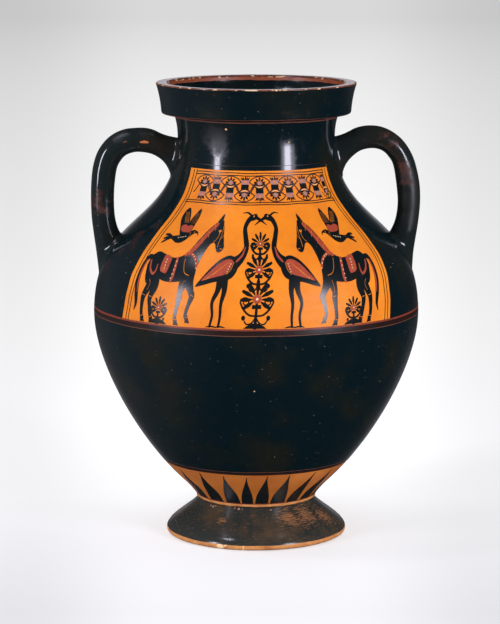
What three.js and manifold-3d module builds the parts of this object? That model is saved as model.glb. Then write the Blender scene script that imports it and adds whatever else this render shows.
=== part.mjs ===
// Terracotta amphora: a two-handled storage jar, thrown in sections and luted together before firing.
// Millimetres, +Z up. The origin is the centre of the resting plane, the picture side faces -Y and the
// two handles lie along X. Every radius is measured from the jar's axis.

import * as THREE from 'three';
import { mergeVertices } from 'three/addons/utils/BufferGeometryUtils.js';
import Module from 'manifold-3d';

const wasm = await Module();
wasm.setup();

// Heights of the sections, stacked from the table up
const footHeight = 41.4;
const filletHeight = 5.2;
const bowlHeight = 215.4;
const shoulderHeight = 206.3;
const neckFlareHeight = 25.3;
const mouthHeight = 36.4;

// Radii of the outside
const restRadius = 98.7;
const footEdgeRadius = 105.9;
const stemRadius = 70.6;
const bellyRadius = 189.4;
const neckRadius = 90.9;
const neckTopRadius = 95.2;
const lipUnderRadius = 109.8;
const lipTopRadius = 116.4;

// Walls and the hollow
const wall = 8;
const floorThickness = 12;
const mouthBoreRadius = 102.6;
const restWidth = 13;
const footHollowHeight = 26;
const hollowCrownShare = 0.7;
const hollowSideShare = 0.93;
const hollowSideRiseShare = 0.35;

// Curve of the foot: a rounded lower edge, then a full side that leans in to the seat of the clay ring
const footEdgeHeight = 4.3;
const footSideRise = 10.5;
const footShoulderRun = 9;
const footShoulderDrop = 12.4;
const footTopInset = 2.9;

// Curve of the bowl: a straight stem that spreads to a knee, then one sweep up to the widest line
const kneeSpread = 10.8;
const kneeRise = 13.5;
const bowlAngle = THREE.MathUtils.degToRad(40.6);
const bowlSweep = 73.2;
const bowlRounding = 57;

// Curve of the shoulder and neck
const shoulderRounding = 121.4;
const neckSweep = 108.4;

// Lip
const lipLowerRound = 2.6;
const lipUpperRound = 1.4;
const lipHollow = 0.9;
const lipHollowShare = 0.6;

// Clay ring between the foot and the stem
const filletWidth = 6.2;
const filletBulge = 0.9;
const filletSpread = 2.2;

// Luted joints: a tongue on the lower piece stands inside a rabbet of the upper one
const tongueHeight = 5;
const luteClearance = 0.3;

// Rolled handles of round section
const coilRadius = 13.9;
const handleOverhang = 3;
const handleRootDrop = 40.6;
const handleTopDrop = 29.6;
const handleTopReach = 43.5;
const handleRootRun = 40;
const handleTopRunIn = 38.4;
const handleTopRunOut = 31.1;
const handleWidestDrop = 75.6;
const handleBendUpper = 50;
const handleBendLower = 18.4;
const handleFootRise = 36;
const handleFootInset = 21.9;
const handleFootLean = 3;
const handleFootRun = 22;
const upperRootSpread = 9;
const upperRootLength = 26;
const lowerRootSpread = 4.5;
const lowerRootLength = 60;

// Counts of facets
const turnSegments = 56;
const curveSteps = 12;
const shortCurveSteps = 6;
const roundSteps = 3;
const coilSides = 16;
const coilRings = 24;

// Heights of the joints above the table
const filletTop = footHeight + filletHeight;
const bellyJoint = filletTop + bowlHeight;
const neckWaist = bellyJoint + shoulderHeight;
const neckTop = neckWaist + neckFlareHeight;
const rimTop = neckTop + mouthHeight;

const tongueWidth = wall / 2;
const footTopRadius = stemRadius - footTopInset;

const gloss = { color: 0x12191b, roughness: 0.28, metalness: 0 };
const clay = { color: 0xb5622a, roughness: 0.62, metalness: 0 };

function point(radius, height) {
  return new THREE.Vector2(radius, height);
}

// Outside curves, as radius and height
function footCurve() {
  return new THREE.CubicBezierCurve(
    point(footEdgeRadius, footEdgeHeight),
    point(footEdgeRadius, footEdgeHeight + footSideRise),
    point(footTopRadius + footShoulderRun, footHeight - footShoulderDrop),
    point(footTopRadius, footHeight),
  );
}

function bowlCurve() {
  const kneeRadius = stemRadius + kneeSpread;
  const kneeHeight = filletTop + kneeRise;
  return new THREE.CubicBezierCurve(
    point(kneeRadius, kneeHeight),
    point(kneeRadius + bowlSweep * Math.cos(bowlAngle), kneeHeight + bowlSweep * Math.sin(bowlAngle)),
    point(bellyRadius, bellyJoint - bowlRounding),
    point(bellyRadius, bellyJoint),
  );
}

function shoulderCurve() {
  return new THREE.CubicBezierCurve(
    point(bellyRadius, bellyJoint),
    point(bellyRadius, bellyJoint + shoulderRounding),
    point(neckRadius, neckWaist - neckSweep),
    point(neckRadius, neckWaist),
  );
}

function neckFlareCurve() {
  return new THREE.QuadraticBezierCurve(
    point(neckRadius, neckWaist),
    point(neckRadius, (neckWaist + neckTop) / 2),
    point(neckTopRadius, neckTop),
  );
}

// Points of a curve, each moved to the left of its direction by the given distance
function offsetPoints(curve, steps, distance) {
  const points = [];
  for (let i = 0; i <= steps; i += 1) {
    const share = i / steps;
    const tangent = curve.getTangent(share);
    const leftward = point(-tangent.y, tangent.x);
    points.push(curve.getPoint(share).addScaledVector(leftward, distance));
  }
  return points;
}

// A solid of revolution from a loop of points that runs up the outside and down the inside
function turned(loop) {
  const closed = [...loop, loop[0].clone()];
  const lathe = new THREE.LatheGeometry(closed, turnSegments);
  lathe.rotateX(Math.PI / 2);
  return welded(lathe);
}

// One closed mesh: shared corners merged, and the empty triangles on the axis left out
function welded(geometry) {
  geometry.deleteAttribute('normal');
  geometry.deleteAttribute('uv');
  const merged = mergeVertices(geometry);
  const corners = merged.index.array;
  const kept = [];
  for (let i = 0; i < corners.length; i += 3) {
    const [a, b, c] = [corners[i], corners[i + 1], corners[i + 2]];
    if (a !== b && b !== c && c !== a) {
      kept.push(a, b, c);
    }
  }
  merged.setIndex(kept);
  return merged;
}

function toManifold(geometry) {
  return new wasm.Manifold(new wasm.Mesh({
    numProp: 3,
    vertProperties: new Float32Array(geometry.attributes.position.array),
    triVerts: new Uint32Array(geometry.index.array),
  }));
}

function fromManifold(solid) {
  const mesh = solid.getMesh();
  const geometry = new THREE.BufferGeometry();
  geometry.setAttribute('position', new THREE.BufferAttribute(mesh.vertProperties, 3));
  geometry.setIndex(new THREE.BufferAttribute(mesh.triVerts, 1));
  return geometry;
}

function piece(name, geometry, finish) {
  geometry.computeVertexNormals();
  const mesh = new THREE.Mesh(geometry, new THREE.MeshStandardMaterial(finish));
  mesh.name = name;
  return mesh;
}

// Foot: an upside-down echinus, hollow beneath, that rests on a ring at its lower edge
function foot() {
  const hollowRadius = restRadius - restWidth;
  const edge = new THREE.QuadraticBezierCurve(
    point(restRadius, 0),
    point(footEdgeRadius, 0),
    point(footEdgeRadius, footEdgeHeight),
  );
  const hollow = new THREE.CubicBezierCurve(
    point(0, footHollowHeight),
    point(hollowRadius * hollowCrownShare, footHollowHeight),
    point(hollowRadius * hollowSideShare, footHollowHeight * hollowSideRiseShare),
    point(hollowRadius, 0),
  );
  return turned([
    ...hollow.getPoints(shortCurveSteps),
    ...edge.getPoints(roundSteps),
    ...footCurve().getPoints(shortCurveSteps).slice(1),
    point(0, footHeight),
  ]);
}

// Clay ring: pressed into the corner between the foot's seat and the stem
function footFillet() {
  const innerRadius = stemRadius - filletWidth;
  const face = new THREE.QuadraticBezierCurve(
    point(stemRadius - filletSpread, footHeight),
    point(stemRadius + filletBulge, footHeight + filletHeight / 2),
    point(stemRadius, filletTop),
  );
  return turned([
    point(innerRadius, footHeight),
    ...face.getPoints(roundSteps),
    point(innerRadius, filletTop),
  ]);
}

// Bowl: from its flat base on the foot up to the luted joint at the widest line
function lowerBody() {
  const floorTop = footHeight + floorThickness;
  const inside = offsetPoints(bowlCurve(), curveSteps, wall);
  const knee = inside[0];
  const floorReach = knee.x - (knee.y - floorTop) / Math.tan(bowlAngle);
  const floor = new THREE.QuadraticBezierCurve(point(0, floorTop), point(floorReach, floorTop), knee);
  const ascending = [...floor.getPoints(shortCurveSteps), ...inside.slice(1)];
  const baseRadius = stemRadius - filletWidth - luteClearance;
  return turned([
    point(0, footHeight),
    point(baseRadius, footHeight),
    point(baseRadius, filletTop),
    point(stemRadius, filletTop),
    ...bowlCurve().getPoints(curveSteps),
    point(bellyRadius - tongueWidth, bellyJoint),
    point(bellyRadius - tongueWidth, bellyJoint + tongueHeight),
    point(bellyRadius - wall, bellyJoint + tongueHeight),
    ...ascending.reverse(),
  ]);
}

// Shoulder and neck, thrown in one: its rabbet sits over the bowl's tongue
function upperBody() {
  const inside = [
    ...offsetPoints(shoulderCurve(), curveSteps, wall).slice(1),
    ...offsetPoints(neckFlareCurve(), roundSteps, wall).slice(1),
  ];
  const rabbetTop = bellyJoint + tongueHeight + luteClearance;
  const rabbetRadius = bellyRadius - tongueWidth + luteClearance;
  const neckBore = inside[inside.length - 1].x;
  return turned([
    point(rabbetRadius, bellyJoint),
    ...shoulderCurve().getPoints(curveSteps),
    ...neckFlareCurve().getPoints(roundSteps).slice(1),
    point(neckBore + tongueWidth, neckTop),
    point(neckBore + tongueWidth, neckTop + tongueHeight),
    point(neckBore, neckTop + tongueHeight),
    ...inside.reverse(),
    point(bellyRadius - wall, rabbetTop),
    point(rabbetRadius, rabbetTop),
  ]);
}

// Mouth: a heavy ring, square below and flaring to a flat rim
function mouth() {
  const flareInside = offsetPoints(neckFlareCurve(), roundSteps, wall);
  const neckBore = flareInside[flareInside.length - 1].x;
  const seatTop = neckTop + tongueHeight + luteClearance;
  const seatRadius = neckBore + tongueWidth + luteClearance;
  const lowerRound = new THREE.QuadraticBezierCurve(
    point(lipUnderRadius - lipLowerRound, neckTop),
    point(lipUnderRadius, neckTop),
    point(lipUnderRadius, neckTop + lipLowerRound),
  );
  const face = new THREE.QuadraticBezierCurve(
    point(lipUnderRadius, neckTop + lipLowerRound),
    point((lipUnderRadius + lipTopRadius) / 2 - lipHollow, neckTop + mouthHeight * lipHollowShare),
    point(lipTopRadius, rimTop - lipUpperRound),
  );
  const bore = new THREE.CubicBezierCurve(
    point(mouthBoreRadius, rimTop - lipUpperRound),
    point(mouthBoreRadius - lipUpperRound, neckTop + mouthHeight * lipHollowShare),
    point(neckBore + tongueWidth, seatTop + tongueHeight),
    point(neckBore, seatTop),
  );
  return turned([
    point(seatRadius, neckTop),
    ...lowerRound.getPoints(roundSteps),
    ...face.getPoints(roundSteps).slice(1),
    point(lipTopRadius - lipUpperRound, rimTop),
    point(mouthBoreRadius + lipUpperRound, rimTop),
    ...bore.getPoints(shortCurveSteps),
    point(seatRadius, seatTop),
  ]);
}

// Centre line of a handle: out of the neck, over the arch, down past the widest place, into the shoulder
function handleLine() {
  const rootX = neckRadius - wall / 2;
  const rootZ = neckTop - handleRootDrop;
  const topX = neckRadius + handleTopReach;
  const topZ = neckTop - handleTopDrop;
  const wideX = bellyRadius + handleOverhang - coilRadius;
  const wideZ = topZ - handleWidestDrop;
  const footX = bellyRadius - handleFootInset;
  const footZ = bellyJoint + handleFootRise;
  const at = (x, z) => new THREE.Vector3(x, 0, z);
  const line = new THREE.CurvePath();
  line.add(new THREE.CubicBezierCurve3(
    at(rootX, rootZ), at(rootX + handleRootRun, rootZ), at(topX - handleTopRunIn, topZ), at(topX, topZ)));
  line.add(new THREE.CubicBezierCurve3(
    at(topX, topZ), at(topX + handleTopRunOut, topZ), at(wideX, wideZ + handleBendUpper), at(wideX, wideZ)));
  line.add(new THREE.CubicBezierCurve3(
    at(wideX, wideZ), at(wideX, wideZ - handleBendLower),
    at(footX + handleFootLean, footZ + handleFootRun), at(footX, footZ)));
  return line;
}

// How much a root has spread at some distance from its end
function spreadAt(distance, reach, spread) {
  return spread * Math.max(0, 1 - distance / reach) ** 2;
}

// The rolled coil, thicker under its upper root and wider at its lower one
function coil() {
  const line = handleLine();
  const length = line.getLength();
  const corners = [];
  for (let ring = 0; ring <= coilRings; ring += 1) {
    const share = ring / coilRings;
    const centre = line.getPointAt(share);
    const tangent = line.getTangentAt(share);
    const outward = new THREE.Vector3(-tangent.z, 0, tangent.x);
    const upper = spreadAt(length * share, upperRootLength, upperRootSpread);
    const lower = spreadAt(length * (1 - share), lowerRootLength, lowerRootSpread);
    centre.addScaledVector(outward, -upper);
    for (let side = 0; side < coilSides; side += 1) {
      const angle = (2 * Math.PI * side) / coilSides;
      const inPlane = (coilRadius + upper) * Math.cos(angle);
      const across = (coilRadius + upper + lower) * Math.sin(angle);
      const corner = centre.clone().addScaledVector(outward, inPlane);
      corners.push(corner.x, across, corner.z);
    }
  }
  return lofted(corners);
}

// A closed body through rings of corners, with flat ends
function lofted(corners) {
  const faces = [];
  const place = (ring, side) => ring * coilSides + (side % coilSides);
  for (let ring = 0; ring < coilRings; ring += 1) {
    for (let side = 0; side < coilSides; side += 1) {
      faces.push(place(ring, side), place(ring + 1, side), place(ring, side + 1));
      faces.push(place(ring + 1, side), place(ring + 1, side + 1), place(ring, side + 1));
    }
  }
  for (let side = 1; side < coilSides - 1; side += 1) {
    faces.push(place(0, 0), place(0, side), place(0, side + 1));
    faces.push(place(coilRings, 0), place(coilRings, side + 1), place(coilRings, side));
  }
  const geometry = new THREE.BufferGeometry();
  geometry.setAttribute('position', new THREE.Float32BufferAttribute(corners, 3));
  geometry.setIndex(faces);
  return geometry;
}

// The jar's outside grown by the luting gap, as a solid that trims the handles' roots
function trimmingBody() {
  const outside = [
    ...offsetPoints(shoulderCurve(), curveSteps, -luteClearance),
    ...offsetPoints(neckFlareCurve(), roundSteps, -luteClearance).slice(1),
  ];
  return turned([point(0, bellyJoint), ...outside, point(0, neckTop)]);
}

function handle() {
  return fromManifold(toManifold(coil()).subtract(toManifold(trimmingBody())));
}

// The left handle is the right one turned half round the jar's axis
function amphora() {
  const jar = new THREE.Group();
  jar.name = 'amphora';
  const left = piece('handle_left', handle(), gloss);
  left.rotation.z = Math.PI;
  jar.add(
    piece('foot', foot(), gloss),
    piece('foot_fillet', footFillet(), clay),
    piece('lower_body', lowerBody(), gloss),
    piece('upper_body', upperBody(), gloss),
    piece('mouth', mouth(), gloss),
    left,
    piece('handle_right', handle(), gloss),
  );
  return jar;
}

export default amphora();
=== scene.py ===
# %% [markdown]
# # A two-handled storage jar of fired clay
#
# The real jar was thrown on a wheel in sections, luted together and painted with a fine clay slip. One
# firing in three stages made it two-coloured: air turned all of it red, smoke turned all of it black, and
# air again turned the bare clay red while the sintered slip stayed black. This notebook dresses the
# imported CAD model. It lays a smooth clay skin over each section, and puts the slips on as thin sheets of
# their own, so that every painted edge is a real edge. All lengths in the cells are millimetres until a
# mesh is made.
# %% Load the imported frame
import math
import random

import bmesh
import bpy
import numpy as np
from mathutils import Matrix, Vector
from mathutils.geometry import delaunay_2d_cdt


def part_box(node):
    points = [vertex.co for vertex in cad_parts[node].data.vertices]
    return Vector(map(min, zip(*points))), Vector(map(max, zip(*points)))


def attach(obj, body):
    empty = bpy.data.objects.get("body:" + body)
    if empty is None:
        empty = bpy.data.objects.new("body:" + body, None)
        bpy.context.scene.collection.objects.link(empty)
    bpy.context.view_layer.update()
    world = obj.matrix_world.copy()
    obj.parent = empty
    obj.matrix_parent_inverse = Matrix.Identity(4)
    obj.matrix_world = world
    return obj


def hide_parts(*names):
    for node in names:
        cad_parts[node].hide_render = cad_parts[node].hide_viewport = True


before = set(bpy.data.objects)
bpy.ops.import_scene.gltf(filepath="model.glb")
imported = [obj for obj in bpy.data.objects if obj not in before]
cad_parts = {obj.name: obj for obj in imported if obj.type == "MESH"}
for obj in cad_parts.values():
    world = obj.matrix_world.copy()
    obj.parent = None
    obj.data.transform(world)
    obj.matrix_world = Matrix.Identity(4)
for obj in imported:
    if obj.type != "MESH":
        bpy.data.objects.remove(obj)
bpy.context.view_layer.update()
print("CAD nodes:", sorted(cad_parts))

# %% [markdown]
# ## Colours, nodes and units
#
# Colours are written as sRGB hex values, as a painter would pick them, and turned to the linear values
# that shaders work in. One small function adds a node with its settings and links, so that a material
# reads as a list of what happens to the surface. A socket goes by its name, or by its number where names
# repeat: 6 and 7 are the two colours of a colour mix, and 1 to 4 are the range that a Map Range node
# reads and the range that it gives.
# %% Colours and nodes
MM = 0.001


def linear(hex_colour):
    """An sRGB hex colour as the linear RGBA that a shader wants."""
    channels = [int(hex_colour[i:i + 2], 16) / 255 for i in (1, 3, 5)]
    return [c / 12.92 if c <= 0.04045 else ((c + 0.055) / 1.055) ** 2.4 for c in channels] + [1.0]


def add_node(tree, kind, links=None, **settings):
    """Adds a node with its settings. An input gets a value, a socket, or a node whose result feeds it."""
    node = tree.nodes.new(kind)
    for name, value in settings.items():
        setattr(node, name, value)
    for socket, value in (links or {}).items():
        if isinstance(value, bpy.types.Node):
            value = next(output for output in value.outputs if output.enabled)
        if isinstance(value, bpy.types.NodeSocket):
            tree.links.new(value, node.inputs[socket])
        else:
            node.inputs[socket].default_value = value
    return node


def per_metre(size_mm):
    """Noise scale whose features are about this many millimetres across."""
    return 1000 / size_mm


def empty_material(name):
    """A material with an empty node tree, and the place on the jar that its patterns start from."""
    material = bpy.data.materials.new(name)
    material.use_nodes = True
    material.node_tree.nodes.clear()
    place = add_node(material.node_tree, "ShaderNodeTexCoord").outputs["Object"]
    return material, material.node_tree, place


print("sRGB mid grey in linear light:", round(linear("#808080")[0], 3))

# %% [markdown]
# ## Damage to the slip
#
# Hands and ground have rubbed the black slip down to brown, knocks have taken it off in chips, and
# weather has left a matt film on parts of the neck and handles. Each kind could be an image mask painted
# by hand. A short list of spots is lighter: it says where the damage is, and a noise tears the edge of
# each spot, so that none of them looks like a circle.
# %% Damage to the slip
GRIT_MM = 2.5
FILM_MM = 16
NOISE_MIDDLE = 0.5


def nearness(tree, place, spots):
    """1 in the middle of any spot, falling to 0 at its reach; a spot is (x, y, z, reach) in millimetres."""
    nearest = None
    for x, y, z, reach in spots:
        away = add_node(tree, "ShaderNodeVectorMath", {
            0: place, 1: (x * MM, y * MM, z * MM)}, operation="DISTANCE")
        near = add_node(tree, "ShaderNodeMapRange", {0: away, 1: 0, 2: reach * MM, 3: 1, 4: 0})
        nearest = near if nearest is None else add_node(
            tree, "ShaderNodeMath", {0: nearest, 1: near}, operation="MAXIMUM")
    return nearest


def rubbed_brown(tree, place, colour, spots, hex_colour, squeeze, tear, grain_mm):
    """The colour with brown rubbed through round some spots, and how much brown shows."""
    level = add_node(tree, "ShaderNodeMapping", {0: place, "Scale": (1, 1, squeeze)})
    rub = add_node(tree, "ShaderNodeTexNoise", {
        "Vector": level, "Scale": per_metre(grain_mm), "Detail": 7, "Roughness": 0.68})
    torn = add_node(tree, "ShaderNodeMath", {
        0: rub, 1: tear, 2: nearness(tree, place, spots)}, operation="MULTIPLY_ADD")
    middle = NOISE_MIDDLE * tear
    shown = add_node(tree, "ShaderNodeMapRange", {0: torn, 1: middle + 0.42, 2: middle + 1.0, 3: 0, 4: 0.85})
    return add_node(tree, "ShaderNodeMix", {
        0: shown, 6: colour, 7: linear(hex_colour)}, data_type="RGBA"), shown


def knocked_off(tree, place, colour, spots, hex_colour):
    """The colour with chips of bare clay at some spots; grit makes their outline rough."""
    grit = add_node(tree, "ShaderNodeTexNoise", {"Vector": place, "Scale": per_metre(GRIT_MM), "Detail": 2})
    broken = add_node(tree, "ShaderNodeMath", {
        0: grit, 1: 0.7, 2: nearness(tree, place, spots)}, operation="MULTIPLY_ADD")
    chipped = add_node(tree, "ShaderNodeMapRange", {0: broken, 1: 0.72, 2: 0.86, 3: 0, 4: 1})
    return add_node(tree, "ShaderNodeMix", {
        0: chipped, 6: colour, 7: linear(hex_colour)}, data_type="RGBA")


def filmed_over(tree, place, gloss, spots):
    """The roughness with a matt film round some spots."""
    film = add_node(tree, "ShaderNodeTexNoise", {
        "Vector": place, "Scale": per_metre(FILM_MM), "Detail": 4, "Roughness": 0.6})
    film = add_node(tree, "ShaderNodeMath", {
        0: film, 1: 2.0, 2: nearness(tree, place, spots)}, operation="MULTIPLY_ADD")
    film = add_node(tree, "ShaderNodeMapRange", {0: film, 1: 1.1, 2: 1.7, 3: 0, 4: 0.3})
    return add_node(tree, "ShaderNodeMath", {0: gloss, 1: film}, operation="ADD")


print("kinds of damage:", [kind.__name__ for kind in (rubbed_brown, knocked_off, filmed_over)])

# %% [markdown]
# ## Black gloss
#
# The black is not a glaze but a fine clay slip, sintered in the kiln: a skin a few hundredths of a
# millimetre thick with a clean mirror gloss, which is a plain dielectric with an IOR near 1.5. It is
# blue-black where thick and olive where the brush ran thin, in clouds as wide as a hand. The wheel leaves
# faint level ridges under it, which make the reflections waver. Real dust is finer than the render can
# show, so its specks are drawn about 2 mm apart and faint.
# %% Black gloss slip
DUST_MM = 2.2
WHEEL_RIDGE_MM = 40
LEVEL_SQUEEZE = 5


def black_gloss(name, thick_hex, thin_hex, roughness, worn=(), worn_hex="#2C1710", chips=(),
                chip_hex="#D9A878", dull=(), squeeze=1.0, tear=3.0, wear_mm=10, cloud_mm=75):
    """Sintered black slip. worn, chips and dull list spots: rubbed brown, knocked off, and matt. squeeze
    makes the wear run in level streaks, and tear says how ragged it is."""
    material, tree, place = empty_material(name)
    cloud = add_node(tree, "ShaderNodeTexNoise", {
        "Vector": place, "Scale": per_metre(cloud_mm), "Detail": 4, "Roughness": 0.55})
    thin = add_node(tree, "ShaderNodeMapRange", {0: cloud, 1: 0.5, 2: 0.72, 3: 0, 4: 1})
    colour = add_node(tree, "ShaderNodeMix", {
        0: thin, 6: linear(thick_hex), 7: linear(thin_hex)}, data_type="RGBA")
    gloss = add_node(tree, "ShaderNodeMapRange", {
        0: cloud, 1: 0.3, 2: 0.75, 3: roughness - 0.03, 4: roughness + 0.05})
    if worn:
        colour, shown = rubbed_brown(tree, place, colour, worn, worn_hex, squeeze, tear, wear_mm)
        gloss = add_node(tree, "ShaderNodeMath", {0: shown, 1: 0.4, 2: gloss}, operation="MULTIPLY_ADD")
    if chips:
        colour = knocked_off(tree, place, colour, chips, chip_hex)
    if dull:
        gloss = filmed_over(tree, place, gloss, dull)
    dust = add_node(tree, "ShaderNodeTexNoise", {"Vector": place, "Scale": per_metre(DUST_MM), "Detail": 1})
    speck = add_node(tree, "ShaderNodeMapRange", {0: dust, 1: 0.772, 2: 0.8, 3: 0, 4: 0.4})
    dusty = add_node(tree, "ShaderNodeMix", {0: speck, 6: colour, 7: linear("#B9AFA2")}, data_type="RGBA")
    wheel = add_node(tree, "ShaderNodeMapping", {0: place, "Scale": (1, 1, LEVEL_SQUEEZE)})
    ridges = add_node(tree, "ShaderNodeTexNoise", {
        "Vector": wheel, "Scale": per_metre(WHEEL_RIDGE_MM), "Detail": 3})
    bump = add_node(tree, "ShaderNodeBump", {"Height": ridges, "Strength": 0.12, "Distance": 0.5 * MM})
    shader = add_node(tree, "ShaderNodeBsdfPrincipled", {
        "Base Color": dusty, "Roughness": gloss, "Normal": bump, "IOR": 1.48})
    add_node(tree, "ShaderNodeOutputMaterial", {0: shader})
    return material


print("noise scales of dust and wheel ridges:", round(per_metre(DUST_MM)), round(per_metre(WHEEL_RIDGE_MM)))

# %% [markdown]
# ## The four black slips
#
# The same slip looks different from place to place. On the body it is thick and clean. On the figures it
# was brushed on in strokes and shines less. Hands have worn the handles to a red-brown, and the foot was
# rubbed by all that the jar stood on, in level streaks. The spots lie where the photograph shows the
# damage, with a few more on the side that it doesn't show.
# %% The black slips
shoulder_wear = [(-138, -73, 355, 16), (-142, -77, 348, 14), (-132, -68, 362, 14), (-154, -61, 343, 14),
                 (-171, -51, 321, 15), (-111, -80, 373, 13), (-66, -92, 523, 3), (-47, -103, 523, 3),
                 (-120, 130, 180, 26), (-70, 150, 330, 22)]
# thick slip, sintered: nearly black, mirror-clean, with a bluish depth
# the chip at (37, -83, 468) is a painted glint: a pale spot at the top of the right streak on the neck
gloss_slip = black_gloss(
    "black_gloss_slip", "#071519", "#191A13", 0.13, worn=shoulder_wear, dull=[(-44, -80, 474, 27)],
    chips=[(-34, -86, 483, 2.2), (37, -83, 468, 1.2), (-2, -176, 201, 1.4)])
# brushed on in strokes: the same black with a softer shine
figure_slip = black_gloss("black_gloss_slip_on_figures", "#0A1518", "#15130F", 0.25)

# worn by hands: glossy black with red-brown showing through, a matt film and a few pale chips
handle_wear = [(-180, -11, 391, 18), (-175, -13, 383, 12), (-177, 6, 425, 16), (148, -13, 470, 16),
               (158, -13, 461, 15), (169, -13, 436, 15), (172, -13, 426, 16), (174, -12, 415, 12),
               (182, 4, 352, 20)]
handle_film = [(178, -12, 414, 26), (182, -12, 396, 27), (184, -12, 374, 26), (-158, -8, 469, 18),
               (-124, -8, 475, 16)]
handle_chips = [(-133, -13.5, 461.3, 1.8), (-131, -13.6, 461.5, 2.4), (-129, -13.7, 461.6, 2.8),
                (-127, -13.7, 461.5, 2.6), (-125, -13.6, 461.3, 2), (-152.4, -13.2, 461, 1.1),
                (-150.8, -13.2, 462, 1.1), (-149, -13.3, 461.6, 1)]
handle_slip = black_gloss(
    "black_gloss_slip_on_handles", "#171E1E", "#25201A", 0.11, worn=handle_wear, worn_hex="#4A2419",
    dull=handle_film, chips=handle_chips, chip_hex="#B4683E")

# rubbed by standing: grey-brown in level streaks, with shine left between them
foot_wear = [(57, -56, 30, 25), (38, -70, 31, 22), (78, -34, 25, 22), (-40, -72, 28, 9), (-60, 70, 24, 50),
             (60, 72, 20, 40)]
foot_chips = [(-53, -45, 40, 2), (-50, -48, 39, 2.6), (-47, -50, 40, 1.6), (-25, -64, 41, 2),
              (-20, -65, 40, 3), (-16, -67, 41, 1.8), (17, -66, 39, 2.4), (20, -66, 41, 1.5)]
foot_slip_material = black_gloss(
    "black_gloss_slip_rubbed", "#2A2D2A", "#463A2C", 0.17, worn=foot_wear, worn_hex="#94623A",
    chips=foot_chips, chip_hex="#A87C68", squeeze=10, tear=4.5, wear_mm=7, cloud_mm=34)
print("black slips:", [m.name for m in (gloss_slip, figure_slip, handle_slip, foot_slip_material)])

# %% [markdown]
# ## Fired clay
#
# Attic clay fires orange-red. The picture panels were rubbed with a thin iron wash and burnished before
# firing, which gives them a deeper orange and a satin sheen; the bare clay in the ray zone, at the edges
# and underneath stays duller. The ray zone's clay is also painted darker, as painted shade for the light
# that its downward face misses. A rough dielectric with soft clouds of a deeper colour does this, and the
# fine darker flecks are the grain of the clay, drawn coarser than they are so that they show. Outer edges
# are knocked pale, so that chips only appear far from the axis and the underside stays whole.
# %% Fired clay
CLAY_GRAIN_MM = 1.6
THROWING_MARK_MM = 30
OUTER_RADIUS = 100


def knocked_pale(tree, place, colour, share, chip_mm):
    """The colour with pale chips, chip_mm long, on this share of the outer edges."""
    blows = add_node(tree, "ShaderNodeTexNoise", {"Vector": place, "Scale": per_metre(chip_mm), "Detail": 3})
    chip = add_node(tree, "ShaderNodeMapRange", {
        0: blows, 1: 0.74 - 0.2 * share, 2: 0.77 - 0.2 * share, 3: 0, 4: 0.9})
    across = add_node(tree, "ShaderNodeMapping", {0: place, "Scale": (1, 1, 0)})
    from_axis = add_node(tree, "ShaderNodeVectorMath", {0: across}, operation="LENGTH")
    outer = add_node(tree, "ShaderNodeMath", {0: from_axis, 1: OUTER_RADIUS * MM}, operation="GREATER_THAN")
    chip = add_node(tree, "ShaderNodeMath", {0: chip, 1: outer}, operation="MULTIPLY")
    return add_node(tree, "ShaderNodeMix", {0: chip, 6: colour, 7: linear("#E8C79A")}, data_type="RGBA")


def fired_clay(name, hex_colour, deep_hex, roughness, patch_mm=55, knocked=0.0, chip_mm=9):
    """Fired clay: a main and a deeper colour in soft clouds, with fine flecks and level throwing marks."""
    material, tree, place = empty_material(name)
    cloud = add_node(tree, "ShaderNodeTexNoise", {
        "Vector": place, "Scale": per_metre(patch_mm), "Detail": 5, "Roughness": 0.6})
    tone = add_node(tree, "ShaderNodeMapRange", {0: cloud, 1: 0.35, 2: 0.7, 3: 0, 4: 1})
    body = add_node(tree, "ShaderNodeMix", {
        0: tone, 6: linear(hex_colour), 7: linear(deep_hex)}, data_type="RGBA")
    grain = add_node(tree, "ShaderNodeTexNoise", {
        "Vector": place, "Scale": per_metre(CLAY_GRAIN_MM), "Detail": 3})
    fleck = add_node(tree, "ShaderNodeMapRange", {0: grain, 1: 0.6, 2: 0.75, 3: 0, 4: 0.35})
    colour = add_node(tree, "ShaderNodeMix", {0: fleck, 6: body, 7: linear("#7A3D16")}, data_type="RGBA")
    if knocked:
        colour = knocked_pale(tree, place, colour, knocked, chip_mm)
    level = add_node(tree, "ShaderNodeMapping", {0: place, "Scale": (1, 1, LEVEL_SQUEEZE)})
    marks = add_node(tree, "ShaderNodeTexNoise", {
        "Vector": level, "Scale": per_metre(THROWING_MARK_MM), "Detail": 4})
    shine = add_node(tree, "ShaderNodeMapRange", {
        0: marks, 1: 0.3, 2: 0.75, 3: roughness - 0.06, 4: roughness + 0.1})
    bump = add_node(tree, "ShaderNodeBump", {"Height": marks, "Strength": 0.15, "Distance": 0.6 * MM})
    shader = add_node(tree, "ShaderNodeBsdfPrincipled", {
        "Base Color": colour, "Roughness": shine, "Normal": bump, "IOR": 1.36})
    add_node(tree, "ShaderNodeOutputMaterial", {0: shader})
    return material


# burnished under an iron wash: a deep, even orange with a satin sheen
panel_clay = fired_clay("burnished_orange_clay", "#DE800C", "#CC6C06", 0.48)
# left bare: a browner, quieter orange, painted darker still as shade for its downward face
ray_clay_with_painted_shade = fired_clay("dull_orange_clay_with_painted_shade", "#B66A27", "#9D5319", 0.45)
# edges that were knocked and handled: paler, mottled clay with cream chips
edge_clay = fired_clay("worn_edge_clay", "#C8894D", "#A05F2C", 0.5, patch_mm=14, knocked=0.6, chip_mm=12)
# the rim's clay, dark from the slip rubbed into it, with many pale chips
rim_clay = fired_clay("rubbed_rim_clay", "#8A4A30", "#4E2418", 0.35, patch_mm=9, knocked=0.85, chip_mm=8)
print("clays:", [m.name for m in (panel_clay, ray_clay_with_painted_shade, edge_clay, rim_clay)])

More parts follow.
